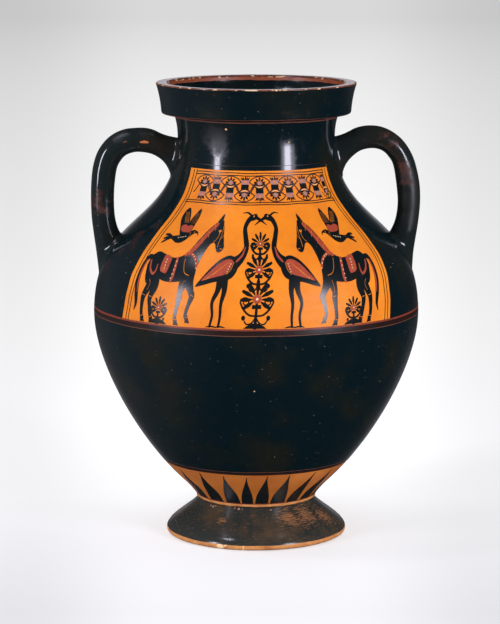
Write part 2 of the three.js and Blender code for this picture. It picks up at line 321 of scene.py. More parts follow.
# %% [markdown]
# ## Added colours
#
# Purple-red and cream were painted over the black before firing. They are matt earths with a slightly
# uneven, chalky cover, so one noise works on the colour, on a high roughness and on a low bump. The black
# slip itself, thinned with water, fires brown, and does for tendrils and washes.
# %% Added red, cream and thinned slip
BRUSH_COVER_MM = 12


def matt_slip(name, hex_colour, worn_hex, roughness):
    """A matt earth colour, rubbed thin in places."""
    material, tree, place = empty_material(name)
    cover = add_node(tree, "ShaderNodeTexNoise", {
        "Vector": place, "Scale": per_metre(BRUSH_COVER_MM), "Detail": 6, "Roughness": 0.7})
    worn = add_node(tree, "ShaderNodeMapRange", {0: cover, 1: 0.5, 2: 0.72, 3: 0, 4: 0.7})
    colour = add_node(tree, "ShaderNodeMix", {
        0: worn, 6: linear(hex_colour), 7: linear(worn_hex)}, data_type="RGBA")
    rough = add_node(tree, "ShaderNodeMapRange", {
        0: cover, 1: 0.3, 2: 0.7, 3: roughness, 4: roughness + 0.15})
    bump = add_node(tree, "ShaderNodeBump", {"Height": cover, "Strength": 0.2, "Distance": 0.2 * MM})
    shader = add_node(tree, "ShaderNodeBsdfPrincipled", {
        "Base Color": colour, "Roughness": rough, "Normal": bump, "IOR": 1.5})
    add_node(tree, "ShaderNodeOutputMaterial", {0: shader})
    return material


# red ochre on the figures: a dry brick red against the gloss
added_red = matt_slip("added_purple_red", "#9C3414", "#7A2812", 0.55)
# the same red in level lines, darker where the black shows through
line_red = matt_slip("added_red_line", "#7E2E16", "#4A1A0E", 0.42)
# red lines that are nearly rubbed away, a dim brown trace; it also paints a thin contact shadow at the foot's
# resting edge
rubbed_red_and_painted_shadow = matt_slip("rubbed_red_line_and_painted_shadow", "#64382A", "#231512", 0.32)
# a second coat of slip where brushfuls overlap: a shade browner than the black, and less shiny
wash_slip = matt_slip("dark_wash", "#24110C", "#160D0A", 0.3)
# slip thinned with water: fine lines that look brown and not black
tendril_slip = matt_slip("thinned_brown_slip", "#3E1608", "#5E280E", 0.4)
# added purple worn to a chalky mauve
mauve_slip = matt_slip("rubbed_purple_slip", "#9B6A62", "#7C4438", 0.55)
# slip that the last air in the kiln turned red again: a satin red band at the mouth
inner_red = matt_slip("red_fired_slip", "#8E4424", "#5A2414", 0.36)
# a thin wash inside: dull brown, with the clay felt through it
inner_wash = matt_slip("thin_wash_inside", "#6E4426", "#4E2E1A", 0.6)
# slip polished by wear on the flat rim: dark red-brown that catches the light
rim_slip = matt_slip("worn_rim_slip", "#4A241A", "#241310", 0.08)
# white clay with a little ochre: small warm cream dots
added_cream = matt_slip("added_cream", "#D8B98C", "#B98F62", 0.6)
print("materials in all:", len(bpy.data.materials))

# %% [markdown]
# ## The outline of the jar
#
# A thrown jar is the same outline turned all the way round. The outline comes from the same sizes as the
# CAD part, but sampled finely and smoothed a little, so that the clay flows where the CAD has facets.
# The skin stays 0.3 mm inside the CAD radius, which leaves room for the slips on top. Each outline is
# kept as points with normals and a distance along it.
# %% Outlines
SKIN_INSET = 0.3


def cubic(ends, count):
    """Points on a cubic curve through four (radius, height) control points."""
    t = np.linspace(0, 1, count)[:, None]
    a, b, c, d = np.array(ends, float)
    return (1 - t) ** 3 * a + 3 * (1 - t) ** 2 * t * b + 3 * (1 - t) * t * t * c + t ** 3 * d


def lengths_along(points):
    """The distance along a run of points, from its start to each of them."""
    return np.concatenate([[0], np.cumsum(np.hypot(*np.diff(points, axis=0).T))])


def smoothed(points, spacing, reach_mm):
    """Evenly spaced points averaged with their neighbours; both ends stay where they are."""
    reach = int(3 * reach_mm / spacing)
    weights = np.exp(-0.5 * (np.arange(-reach, reach + 1) * spacing / reach_mm) ** 2)
    before = 2 * points[0] - points[reach:0:-1]
    after = 2 * points[-1] - points[-2:-reach - 2:-1]
    padded = np.concatenate([before, points, after])
    averaged = [np.convolve(padded[:, k], weights / weights.sum(), "valid") for k in (0, 1)]
    return np.stack(averaged, axis=1)


def outline(points, spacing=1.0, smoothing=0.0, inset=0.0):
    """An outline resampled by length, smoothed, and moved inwards. Outwards is to its right."""
    points = np.array(points, float)
    steps = np.hypot(*np.diff(points, axis=0).T)
    points = points[np.concatenate([[True], steps > 1e-6])]
    along = lengths_along(points)
    even = np.linspace(0, along[-1], max(4, int(along[-1] / spacing) + 1))
    points = np.stack([np.interp(even, along, points[:, k]) for k in (0, 1)], axis=1)
    if smoothing:
        points = smoothed(points, spacing, smoothing)
    tangent = np.gradient(points, axis=0)
    tangent /= np.hypot(*tangent.T)[:, None]
    normal = np.stack([tangent[:, 1], -tangent[:, 0]], axis=1)
    points = points - normal * inset
    return {"r": points[:, 0], "z": points[:, 1], "nr": normal[:, 0], "nz": normal[:, 1],
            "s": lengths_along(points)}


quarter = outline(cubic([(10, 0), (10, 5.52), (5.52, 10), (0, 10)], 60), 0.1)
print("a quarter circle of 10 mm measures", round(float(quarter["s"][-1]), 2), "mm along")

# %% [markdown]
# ## Places on an outline
#
# Anything painted on the jar finds its place from an angle round it and a distance or a height, and the
# outline gives the point and the direction that its surface faces there. A UV map could hold a drawing
# too, but with real lengths a brush stroke stays as wide as it was painted, wherever it lies.
# %% Places on an outline
FRONT = -90.0


def on_outline(line, angle_deg, s, lift):
    """Places (mm) and normals on an outline turned to the given angles; 0 degrees is the picture side."""
    angle = np.radians(np.asarray(angle_deg, float) + FRONT)
    s = np.asarray(s, float)
    r, z, nr, nz = (np.interp(s, line["s"], line[key]) for key in ("r", "z", "nr", "nz"))
    size = np.hypot(nr, nz)
    nr, nz = nr / size, nz / size
    r, z = r + nr * lift, z + nz * lift
    place = np.stack([r * np.cos(angle), r * np.sin(angle), z + 0 * angle], axis=-1)
    normal = np.stack([nr * np.cos(angle), nr * np.sin(angle), nz + 0 * angle], axis=-1)
    return place, normal


def s_at(line, height):
    """Distance along an outline that climbs steadily, at a height."""
    return np.interp(height, line["z"], line["s"])


def radius_at(line, height):
    """Radius of an outline that climbs steadily, at a height."""
    return np.interp(height, line["z"], line["r"])


print("half way along that quarter circle:", on_outline(quarter, 0, quarter["s"][-1] / 2, 0)[0].round(2))

# %% [markdown]
# ## Body and foot in outline
#
# The joints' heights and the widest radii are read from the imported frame, so they always agree with the
# CAD. The sizes of the curves between them are the potter's: a stem that spreads to a knee, one sweep up
# to the widest line, a shoulder that turns over and runs up into the neck, and a neck that flares to the
# mouth. Each is a cubic curve, because four points are enough to say how full it is.
# %% Body and foot in outline
def frame_height(node, end):
    """Height of a CAD node's lowest (0) or highest (1) point."""
    return round(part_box(node)[end][2] / MM, 1)


def frame_radius(node):
    """Widest radius of a turned CAD node."""
    return round(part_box(node)[1][1] / MM, 1)


FOOT_TOP, RING_TOP = frame_height("foot", 1), frame_height("foot_fillet", 1)
BELLY_JOINT, NECK_TOP = frame_height("upper_body", 0), frame_height("mouth", 0)
BELLY_RADIUS, FOOT_RADIUS = frame_radius("upper_body"), frame_radius("foot")
STEM_RADIUS, KNEE_RADIUS, KNEE_HEIGHT = 70.6, 81.4, 60.1
KNEE_ANGLE, BOWL_SWEEP, BOWL_ROUNDING = math.radians(40.6), 73.2, 57.0
NECK_RADIUS, NECK_WAIST, NECK_TOP_RADIUS = 90.9, 468.3, 95.2
SHOULDER_ROUNDING, NECK_SWEEP = 121.4, 108.4
REST_RADIUS, FOOT_TOP_RADIUS, FOOT_EDGE_HEIGHT = 98.7, 67.7, 4.3

bowl_curve = cubic([
    (KNEE_RADIUS, KNEE_HEIGHT),
    (KNEE_RADIUS + BOWL_SWEEP * math.cos(KNEE_ANGLE), KNEE_HEIGHT + BOWL_SWEEP * math.sin(KNEE_ANGLE)),
    (BELLY_RADIUS, BELLY_JOINT - BOWL_ROUNDING), (BELLY_RADIUS, BELLY_JOINT)], 160)
shoulder_curve = cubic([
    (BELLY_RADIUS, BELLY_JOINT), (BELLY_RADIUS, BELLY_JOINT + SHOULDER_ROUNDING),
    (NECK_RADIUS, NECK_WAIST - NECK_SWEEP), (NECK_RADIUS, NECK_WAIST)], 200)
flare_curve = cubic([
    (NECK_RADIUS, NECK_WAIST), (NECK_RADIUS, 476.7), (92.3, 485.2), (NECK_TOP_RADIUS, NECK_TOP)], 30)
foot_curve = cubic([
    (FOOT_RADIUS, FOOT_EDGE_HEIGHT), (FOOT_RADIUS, 14.8), (76.7, 29.0), (FOOT_TOP_RADIUS, FOOT_TOP)], 80)
foot_edge = cubic([(REST_RADIUS, 0), (103.5, 0), (FOOT_RADIUS, 1.4), (FOOT_RADIUS, FOOT_EDGE_HEIGHT)], 12)
stem_line = [(STEM_RADIUS, RING_TOP), (KNEE_RADIUS, KNEE_HEIGHT)]
body = outline(np.concatenate([stem_line, bowl_curve, shoulder_curve, flare_curve]), 0.5, 5.0, SKIN_INSET)
foot = outline(np.concatenate([foot_edge, foot_curve]), 0.5, 0.8, SKIN_INSET)
widest = body["r"].argmax()
print("widest clay radius", round(float(body["r"][widest]), 2), "at", round(float(body["z"][widest]), 1))

# %% [markdown]
# ## Turning a section
#
# A lathe is the wheel of the mesh world: a closed loop of points is turned round the axis. The loop runs
# up the outside and down the inside, so each section is a real shell with its wall thickness, and the
# flat ends stay hidden in the joints. The Screw modifier would do the same; plain code is chosen because
# it also closes the loop on the axis. 192 steps a turn keep the gloss free of facets.
# %% A turned section
TURN_STEPS = 192
SHARP_ANGLE = 38


def new_piece(name, places_mm, faces, material):
    """A mesh object from places in millimetres."""
    mesh = bpy.data.meshes.new(name)
    mesh.from_pydata((np.asarray(places_mm) * MM).tolist(), [], faces)
    mesh.materials.append(material)
    piece = bpy.data.objects.new(name, mesh)
    bpy.context.scene.collection.objects.link(piece)
    return piece


def face_outwards(piece):
    """Turns every face of a closed piece outwards, and shades it smoothly."""
    work = bmesh.new()
    work.from_mesh(piece.data)
    bmesh.ops.recalc_face_normals(work, faces=work.faces)
    work.to_mesh(piece.data)
    work.free()
    piece.data.shade_smooth()


def turned(name, loop, material):
    """A closed loop of (radius, height) turned round the axis."""
    angles = np.radians(np.arange(TURN_STEPS) * 360 / TURN_STEPS)
    places, rings = [], []
    for r, z in loop:
        if r < 1e-6:
            rings.append([len(places)] * TURN_STEPS)
            places.append((0, 0, z))
        else:
            rings.append(list(range(len(places), len(places) + TURN_STEPS)))
            places.extend((r * math.cos(a), r * math.sin(a), z) for a in angles)
    faces = []
    for low, high in zip(rings, rings[1:] + rings[:1]):
        for k in range(TURN_STEPS):
            n = (k + 1) % TURN_STEPS
            corners = list(dict.fromkeys([low[k], low[n], high[n], high[k]]))
            if len(corners) > 2:
                faces.append(corners)
    piece = new_piece(name, places, faces, material)
    face_outwards(piece)
    piece.data.set_sharp_from_angle(angle=math.radians(SHARP_ANGLE))
    return piece


print("a turned section has", TURN_STEPS, "steps, each", round(2 * math.pi * BELLY_RADIUS / TURN_STEPS, 1),
      "mm wide at the belly")

# %% [markdown]
# ## Outside and inside of a wall
#
# A section's outside is a stretch of an outline. Its inside runs back down at the wall's thickness, with
# the low ridges that the potter's fingers left as they climbed, which a sine along the wall gives.
# %% Outside and inside of a wall
FINGER_RIDGE_MM = 11


def sampled(line, low, high, spacing):
    """Points of an outline between two heights, about evenly spaced."""
    s0, s1 = s_at(line, low), s_at(line, high)
    places = np.linspace(s0, s1, max(2, int((s1 - s0) / spacing) + 1))
    return [tuple(float(np.interp(s, line["s"], line[key])) for key in ("r", "z")) for s in places]


def inner_wall(line, low, high, thickness, ridge):
    """The inside of a thrown wall, from high to low, with the fingers' spiral ridges."""
    points = []
    s0, s1 = s_at(line, low), s_at(line, high)
    for s in np.linspace(s1, s0, int((s1 - s0) / 2.5)):
        r, z, nr, nz = (float(np.interp(s, line["s"], line[key])) for key in ("r", "z", "nr", "nz"))
        depth = thickness + ridge * math.sin(2 * math.pi * s / FINGER_RIDGE_MM)
        points.append((r - nr * depth, z - nz * depth))
    return points


print("the neck's inside takes", len(inner_wall(body, NECK_WAIST, NECK_TOP, 8, 0.4)), "points")

# %% [markdown]
# ## Foot, clay ring and body
#
# Foot, clay ring, bowl, shoulder with neck, and mouth are the sections that the potter made apart. Each
# is a piece that replaces its CAD node. All are bare clay here, because the slips come on top as sheets
# of their own. The foot is hollow beneath, as the hand that lifts the jar expects.
# %% Foot, clay ring and body
WALL = 8.0
SEAT_GAP = 0.1
RING_INNER_RADIUS = 64.7
FLOOR_HEIGHT = 53.4

hollow = cubic([(0, 26), (60, 26), (79.7, 9.1), (85.7, 0)], 24)
foot_clay = turned(
    "foot_clay", [tuple(p) for p in hollow] + sampled(foot, 0.0, FOOT_TOP - SEAT_GAP, 1.5)
    + [(0, FOOT_TOP - SEAT_GAP)], edge_clay)
ring_low, ring_high = FOOT_TOP + SEAT_GAP, RING_TOP - SEAT_GAP
fillet = outline(cubic([(68.0, ring_low), (69.9, 42.2), (70.9, 44.6), (70.3, ring_high)], 12), 0.5, 0, 0.1)
ring_clay = turned(
    "clay_ring", [(RING_INNER_RADIUS, ring_low)] + sampled(fillet, ring_low, ring_high, 0.7)
    + [(RING_INNER_RADIUS, ring_high)], edge_clay)

floor_points = cubic([(0, FLOOR_HEIGHT), (36, FLOOR_HEIGHT), (62, FLOOR_HEIGHT), (80.0, 70)], 14)
inside_bowl = [p for p in inner_wall(body, 62.0, BELLY_JOINT, WALL, 0.45) if p[1] > 70.5]
bowl_base = [(0, ring_low), (RING_INNER_RADIUS - 0.6, ring_low), (RING_INNER_RADIUS - 0.6, RING_TOP)]
bowl_clay = turned(
    "bowl_clay", bowl_base + sampled(body, RING_TOP + SEAT_GAP, BELLY_JOINT, 3.0) + inside_bowl
    + [tuple(p) for p in floor_points[::-1]], ray_clay_with_painted_shade)
shoulder_clay = turned(
    "shoulder_clay", sampled(body, BELLY_JOINT, NECK_TOP - SEAT_GAP, 2.5)
    + inner_wall(body, BELLY_JOINT, NECK_TOP - SEAT_GAP, WALL, 0.4), panel_clay)
print("turned:", [piece.name for piece in (foot_clay, ring_clay, bowl_clay, shoulder_clay)])

# %% [markdown]
# ## Mouth
#
# The mouth is a heavy ring with a slightly hollow face, a worn flat rim and a bore that narrows down to
# the neck. Face, rim and bore are outlines of their own, because each takes a coat of another colour.
# %% Mouth
lip_under = cubic([(107.0, 493.9), (108.6, 493.9), (109.7, 494.8), (109.8, 496.4)], 8)
lip_side = cubic([(109.9, 497.2), (110.6, 507.0), (112.6, 518.6), (115.7, 527.6)], 20)
lip_round = cubic([(115.9, 528.2), (116.2, 529.2), (115.7, 529.8), (114.8, 529.8)], 8)
lip_face = outline(np.concatenate([[(95.6, 493.9)], lip_under, lip_side, lip_round]), 0.5, 0.5, 0.25)
rim_round = cubic([(104.6, 529.5), (103.4, 529.4), (102.7, 528.8), (102.6, 527.8)], 8)
rim_top = outline(np.concatenate([[(114.6, 529.55)], rim_round]), 0.5, 0.4, 0)
bore = outline(cubic([(102.6, 527.6), (101.4, 515.0), (91.6, 504.0), (87.6, 496.8)], 40), 0.5, 1.0, 0)
mouth_loop = [(87.6, 493.9)]
for line, every in ((lip_face, 2), (rim_top, 2), (bore, 3)):
    mouth_loop += [(float(r), float(z)) for r, z in zip(line["r"][::every], line["z"][::every])]
mouth_clay = turned("mouth_clay", mouth_loop, rim_clay)

for piece, node in ((foot_clay, "foot"), (ring_clay, "foot_fillet"), (bowl_clay, "lower_body"),
                    (shoulder_clay, "upper_body"), (mouth_clay, "mouth")):
    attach(piece, "root")
    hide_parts(node)
    print(piece.name, len(piece.data.polygons), "faces")

# %% [markdown]
# ## Sheets of slip
#
# Slip is a skin with a thickness, so each coat is a thin closed sheet: an upper side a little above the
# clay, an under side just below it, and a narrow wall round every edge. Painting colours into one mesh
# would be less work, but a coat of its own has a true edge from any distance. The normals are taken from
# the outline and not from the mesh, so that neighbouring coats shade as one surface.
# %% A sheet of slip
SHEET_DEPTH = 0.2


def sheet(name, places, normals, faces, material, depth=SHEET_DEPTH):
    """A thin closed sheet below the given upper side."""
    places, normals = np.asarray(places, float), np.asarray(normals, float)
    count = len(places)
    directed = {}
    for face in faces:
        for a, b in zip(face, face[1:] + face[:1]):
            directed[(a, b)] = True
    edges = [(a, b) for a, b in directed if (b, a) not in directed]
    under = [[v + count for v in reversed(face)] for face in faces]
    walls = [[b, a, a + count, b + count] for a, b in edges]
    both_sides = np.concatenate([places, places - normals * depth])
    piece = new_piece(name, both_sides, faces + under + walls, material)
    mesh = piece.data
    mesh.shade_smooth()
    corner_normals = []
    for index, polygon in enumerate(mesh.polygons):
        if index < len(faces):
            corner_normals.extend(normals[v] for v in polygon.vertices)
        elif index < 2 * len(faces):
            corner_normals.extend(-normals[v - count] for v in polygon.vertices)
        else:
            corner_normals.extend([np.array(polygon.normal)] * len(polygon.vertices))
    mesh.normals_split_custom_set([tuple(n) for n in corner_normals])
    return piece


print("a sheet of slip is", SHEET_DEPTH, "mm thick")

# %% [markdown]
# ## Coats over an outline
#
# A coat's upper side is a grid of angles and distances along an outline. Its edges were drawn by hand on
# a turning wheel, so they waver by a fraction of a millimetre: a sum of a few seeded waves that close
# after one turn does it, where plain noise would leave a step.
# %% Coats over an outline
SLIP_LIFT = 0.14


def woven(columns, rows, closed):
    """Faces of a grid of points, columns going round to the right and rows going up."""
    last = columns if closed else columns - 1
    return [[i + j * columns, (i + 1) % columns + j * columns,
             (i + 1) % columns + (j + 1) * columns, i + (j + 1) * columns]
            for j in range(rows - 1) for i in range(last)]


def grid_sheet(name, line, turn, s, lift, closed, material):
    """A sheet over a grid of angles and distances along an outline."""
    places, normals = on_outline(line, turn, s, lift)
    faces = woven(turn.shape[1], turn.shape[0], closed)
    return sheet(name, places.reshape(-1, 3), normals.reshape(-1, 3), faces, material)


def ring_coat(name, line, low_s, high_s, material, spacing=3.0, lift=SLIP_LIFT, ragged=0.25, seed=1):
    """A coat all the way round between two distances along an outline, with slightly uneven edges."""
    draw = random.Random(seed)
    waves = [[(draw.uniform(-1, 1), draw.uniform(0, 2 * math.pi), k) for k in (3, 7, 13, 29, 47)]
             for end in ("low", "high")]
    angles = np.arange(TURN_STEPS) * 360 / TURN_STEPS
    edges = [sum(a * np.sin(np.radians(angles) * k + p) / (1 + k / 20) for a, p, k in wave) for wave in waves]
    low = low_s + ragged * edges[0] * 0.5
    high = high_s + ragged * edges[1] * 0.5
    share = np.linspace(0, 1, max(2, int(abs(high_s - low_s) / spacing) + 1))[:, None]
    s = low * (1 - share) + high * share
    return grid_sheet(name, line, np.broadcast_to(angles, s.shape), s, lift, True, material)


print("coats stand", SLIP_LIFT, "mm proud of the clay")

# %% [markdown]
# ## The black coats
#
# The painter left two picture panels free, one on each side, and coated the rest of the body: the neck,
# the stretch between the panels under each handle, and the belly down to the ray zone. The panels' edges
# were drawn freehand, so they bulge and waver, and no two are alike. Inside, the slip was poured round as
# far as a hand reaches, and a thin wash ran down below it.
# %% Neck, belly, side and inner coats
PANEL_BOTTOM, PANEL_TOP = 272.0, 437.0
RAY_TOP = 90.5
PANEL_TURN = 2.0
SLIP_REACH_INSIDE = 446


def up_panel(height):
    """A height as a share of the panel's height."""
    return (np.asarray(height, float) - PANEL_BOTTOM) / (PANEL_TOP - PANEL_BOTTOM)


def panel_edge(side, height):
    """Angle of a panel's edge from the panel's middle, at a height; side is -1 or 1."""
    up = up_panel(height)
    wobble = 0.25 * np.sin(up * 19 + side) + 0.15 * np.sin(up * 43 + 2 * side)
    at_bottom, lean, bulge = (-54.8, 1.2, 0.9) if side < 0 else (50.6, 5.4, 2.0)
    return at_bottom + lean * up + wobble * 0.5 + bulge * np.sin(up * math.pi)


def side_coat(name, start_turn, end_turn, columns=44, rows=56):
    """The coat from one panel's right edge round to the next panel's left edge."""
    heights = np.linspace(PANEL_BOTTOM - 1, PANEL_TOP + 0.5, rows)
    share = np.linspace(0, 1, columns)[None, :]
    start = (PANEL_TURN + start_turn + panel_edge(1, heights))[:, None]
    end = (PANEL_TURN + end_turn + panel_edge(-1, heights))[:, None]
    turn = start * (1 - share) + end * share
    s = np.broadcast_to(s_at(body, heights)[:, None], turn.shape)
    return grid_sheet(name, body, turn, s, SLIP_LIFT, False, gloss_slip)


inside_neck = outline(inner_wall(body, SLIP_REACH_INSIDE, 493.4, WALL, 0.4))
inside_shoulder = outline(inner_wall(body, BELLY_JOINT, SLIP_REACH_INSIDE + 2, WALL, 0.4))
lip_end, bore_end, rim_end = (line["s"][-1] for line in (lip_face, bore, rim_top))
neck_end, shoulder_end = (line["s"][-1] for line in (inside_neck, inside_shoulder))
coats = [
    ring_coat("neck_slip", body, s_at(body, PANEL_TOP), s_at(body, 493.4), gloss_slip, ragged=0.1, seed=2),
    ring_coat("belly_slip", body, s_at(body, RAY_TOP), s_at(body, PANEL_BOTTOM - 1), gloss_slip, 3.5, seed=3),
    side_coat("side_slip_right", 0, 180),
    side_coat("side_slip_left", 180, 360),
    ring_coat("lip_slip", lip_face, 0.3, lip_end - 1.6, gloss_slip, 1.2, 0.12, 0.5, 4),
    ring_coat("bore_slip", bore, 3.8, bore_end - 0.2, gloss_slip, 1.5, 0.12, 0.8, 5),
    ring_coat("foot_slip", foot, s_at(foot, 6.5), s_at(foot, 41.2), foot_slip_material, 1.5, 0.14, 0.5, 6),
    ring_coat("clay_ring_slip", fillet, 0.2, 3.0, foot_slip_material, 0.7, 0.12, 0.9, 8),
    ring_coat("bore_red", bore, 0.4, 4.4, inner_red, 1.5, 0.08, 0.5, 7),
    ring_coat("rim_red", rim_top, 0.8, rim_end - 0.2, rim_slip, 1.5, 0.12, 0.9, 9),
    ring_coat("neck_inside_slip", inside_neck, 0.3, neck_end - 2, gloss_slip, 2.0, 0.14, 2.5, 10),
    ring_coat("shoulder_inside_wash", inside_shoulder, 3.0, shoulder_end - 1, inner_wash, 2.0, 0.14, 2.0, 11),
]
for piece in coats:
    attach(piece, "root")
    print(piece.name, len(piece.data.polygons), "faces")

# %% [markdown]
# ## Brush strokes
#
# Everything drawn on the jar is made from two kinds of shape: closed outlines through a few points, and
# brush strokes with a width at each point. Both flow through their points as a brush does, which a
# Catmull-Rom curve gives without any handles to set.
# %% Strokes and outlines
def flowing(points, closed=False, per=8):
    """A smooth curve through the given points."""
    points = np.array(points, float)
    if len(points) < 3:
        return points
    if closed:
        ring = np.concatenate([points[-1:], points, points[:2]])
    else:
        ring = np.concatenate([2 * points[:1] - points[1:2], points, 2 * points[-1:] - points[-2:-1]])
    t = np.linspace(0, 1, per, endpoint=False)[:, None]
    parts = []
    for a, b, c, d in zip(ring, ring[1:], ring[2:], ring[3:]):
        parts.append(0.5 * (2 * b + (c - a) * t + (2 * a - 5 * b + 4 * c - d) * t * t
                            + (3 * b - a - 3 * c + d) * t ** 3))
    curve = np.concatenate(parts)
    return curve if closed else np.concatenate([curve, points[-1:]])


def stroke(points, widths, per=6):
    """A brush stroke along points, with a width at each point and round ends."""
    line = flowing(points, per=per)
    at = np.linspace(0, len(points) - 1, len(line))
    half = np.interp(at, range(len(points)), np.broadcast_to(widths, len(points)))[:, None] / 2
    tangent = np.gradient(line, axis=0)
    tangent /= np.hypot(*tangent.T)[:, None]
    normal = np.stack([-tangent[:, 1], tangent[:, 0]], axis=1)
    turn = np.linspace(0, math.pi, 7)[1:-1, None]
    last = line[-1] + half[-1] * (normal[-1] * np.cos(turn) + tangent[-1] * np.sin(turn))
    first = line[0] - half[0] * (normal[0] * np.cos(turn) + tangent[0] * np.sin(turn))
    return np.concatenate([line + normal * half, last, (line - normal * half)[::-1], first])


def disc(x, y, radius, squash=1.0, count=18):
    """A round or flattened dot."""
    turn = np.linspace(0, 2 * math.pi, count, endpoint=False)
    return np.stack([x + radius * np.cos(turn), y + radius * squash * np.sin(turn)], axis=1)


print("a stroke through 3 points has", len(stroke([(0, 0), (5, 1), (9, 4)], [1, 2, 1])), "corners")

# %% [markdown]
# ## Cutting shapes out
#
# A shape is drawn flat, in millimetres, then triangulated together with a lattice of points, because the
# triangles have to follow the jar's curve. Where an incised line crosses black, the slip is left out, as
# the graver really scratches it away. A Boolean modifier could cut the lines, but it is slow and fragile
# on hundreds of thin shapes. A constrained triangulation keeps every drawn edge, and whether a triangle
# stays is then decided by counting how often the outlines wind round its middle.
# %% Cutting shapes out
def covered(polygons, places):
    """Which places lie in any of the polygons."""
    result = np.zeros(len(places), bool)
    for polygon in polygons:
        polygon = np.asarray(polygon)
        low, high = polygon.min(0), polygon.max(0)
        near = np.where(((places >= low) & (places <= high)).all(1) & ~result)[0]
        if len(near) == 0:
            continue
        x, y = places[near].T
        winding = np.zeros(len(near), int)
        for (x0, y0), (x1, y1) in zip(polygon, np.roll(polygon, -1, axis=0)):
            side = (x1 - x0) * (y - y0) - (x - x0) * (y1 - y0)
            winding += ((y0 <= y) & (y1 > y) & (side > 0)).astype(int)
            winding -= ((y0 > y) & (y1 <= y) & (side < 0)).astype(int)
        result[near[winding != 0]] = True
    return result


def closely(polygon, longest=3.0):
    """The same outline with no edge longer than this, so that it bends with the clay."""
    polygon = np.asarray(polygon, float)
    parts = []
    for a, b in zip(polygon, np.roll(polygon, -1, axis=0)):
        share = np.linspace(0, 1, int(np.hypot(*(b - a)) / longest) + 1, endpoint=False)[:, None]
        parts.append(a + (b - a) * share)
    return np.concatenate(parts)


def cut_out(fills, cuts, grid=4.0):
    """Triangles that cover every fill and no cut, with lattice points between."""
    fills, cuts = [closely(q) for q in fills], [closely(q) for q in cuts]
    corners, edges = [], []
    for polygon in fills + cuts:
        start, count = len(corners), len(polygon)
        corners.extend(Vector((float(x), float(y))) for x, y in polygon)
        edges.extend((start + k, start + (k + 1) % count) for k in range(count))
    every = np.concatenate([np.asarray(f) for f in fills])
    ticks = [np.arange(every[:, k].min() + grid / 2, every[:, k].max(), grid) for k in (0, 1)]
    lattice = np.array(np.meshgrid(*ticks)).reshape(2, -1).T
    corners.extend(Vector((float(x), float(y))) for x, y in lattice[covered(fills, lattice)])
    laid = delaunay_2d_cdt(corners, edges, [], 0, 1e-4)
    points, faces = np.array([tuple(p) for p in laid[0]]), np.array(laid[2])
    middles = points[faces].mean(axis=1)
    faces = faces[covered(fills, middles) & ~covered(cuts, middles)]
    used, flat = np.unique(faces, return_inverse=True)
    return points[used], flat.reshape(-1, 3)


print("a dot of 2 mm becomes", len(cut_out([disc(0, 0, 2)], [])[1]), "triangles")

# %% [markdown]
# ## Laying shapes on the jar
#
# A flat drawing is wrapped round the clay: x becomes an angle, by the jar's radius at that height, and y
# becomes a height. Shapes of one colour are gathered in a store and later become a single sheet, so that
# a panel is a handful of pieces instead of hundreds. Red lies on black and cream on red, each a little
# higher than the last, as the painter laid them.
# %% Laying shapes on the jar
BLACK_LIFT, RED_LIFT, CREAM_LIFT = 0.14, 0.22, 0.28


def lay(store, colour, angles, s, faces, lift, line=body):
    """Adds faces at angles and distances along an outline to a store of coats by colour."""
    places, normals = on_outline(line, angles, s, lift)
    part = store.setdefault(colour, {"places": [], "normals": [], "faces": [], "count": 0})
    part["faces"].extend([[int(v) + part["count"] for v in face] for face in faces])
    part["places"].append(places)
    part["normals"].append(normals)
    part["count"] += len(places)


def paint(store, colour, fills, cuts, angle_of, ground, lift, scale=(1, 1), rise=0.0, grid=4.0):
    """Lays a flat drawing on the jar: x runs round from angle_of(height), y climbs from the ground line."""
    if len(fills) == 0:
        return
    fit = [[np.asarray(q, float) * np.array(scale) + np.array([0, rise]) for q in part]
           for part in (fills, cuts)]
    points, faces = cut_out(fit[0], fit[1], grid)
    heights = ground + points[:, 1]
    angles = angle_of(heights) + np.degrees(points[:, 0] / radius_at(body, heights))
    lay(store, colour, angles, s_at(body, heights), faces, lift)


def upright(angle):
    """A drawing's middle that stands at the same angle at every height."""
    return lambda height: angle + 0 * height


print("10 mm of drawing turn", round(math.degrees(10 / float(radius_at(body, BELLY_JOINT))), 2),
      "degrees round the belly")

# %% [markdown]
# ## Painted lines, and sheets by colour
#
# A long line is simpler than a figure: two rows of points at half its width on either side of its run.
# Then every colour's faces become one sheet with its own material.
# %% Painted lines, and sheets by colour
FINISHES = {
    "black": (figure_slip, "black_gloss", 0.2), "red": (added_red, "added_red", 0.12),
    "cream": (added_cream, "added_cream", 0.12), "line": (line_red, "added_red", 0.14),
    "wash": (wash_slip, "black_gloss", 0.14), "tendril": (tendril_slip, "black_gloss", 0.14),
    "dull": (rubbed_red_and_painted_shadow, "added_red", 0.14), "mauve": (mauve_slip, "added_red", 0.12),
}


def ribbon(store, colour, angles, heights, width, lift, closed=False, line=body):
    """A painted line of even width along angles and heights."""
    angles, heights = np.asarray(angles, float), np.asarray(heights, float)
    s = s_at(line, heights)
    r = radius_at(line, heights)
    if closed:
        run = np.stack([np.full(len(s), 1.0), np.zeros(len(s))], axis=1)
    else:
        run = np.stack([np.gradient(np.radians(angles)) * r, np.gradient(s)], axis=1)
        run /= np.hypot(*run.T)[:, None]
    half = np.broadcast_to(width, len(s)) / 2
    low = (angles + np.degrees(run[:, 1] * half / r), s - run[:, 0] * half)
    high = (angles - np.degrees(run[:, 1] * half / r), s + run[:, 0] * half)
    lay(store, colour, np.concatenate([low[0], high[0]]), np.concatenate([low[1], high[1]]),
        woven(len(s), 2, closed), lift, line)


def hang(store, prefix):
    """Makes one sheet of each colour in a store, and puts it on the jar."""
    for colour, part in store.items():
        material, slot, depth = FINISHES[colour]
        piece = sheet(f"{prefix}_{colour}", np.concatenate(part["places"]), np.concatenate(part["normals"]),
                      part["faces"], material, depth)
        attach(piece, "root")
        print(piece.name, len(piece.data.polygons), "faces")


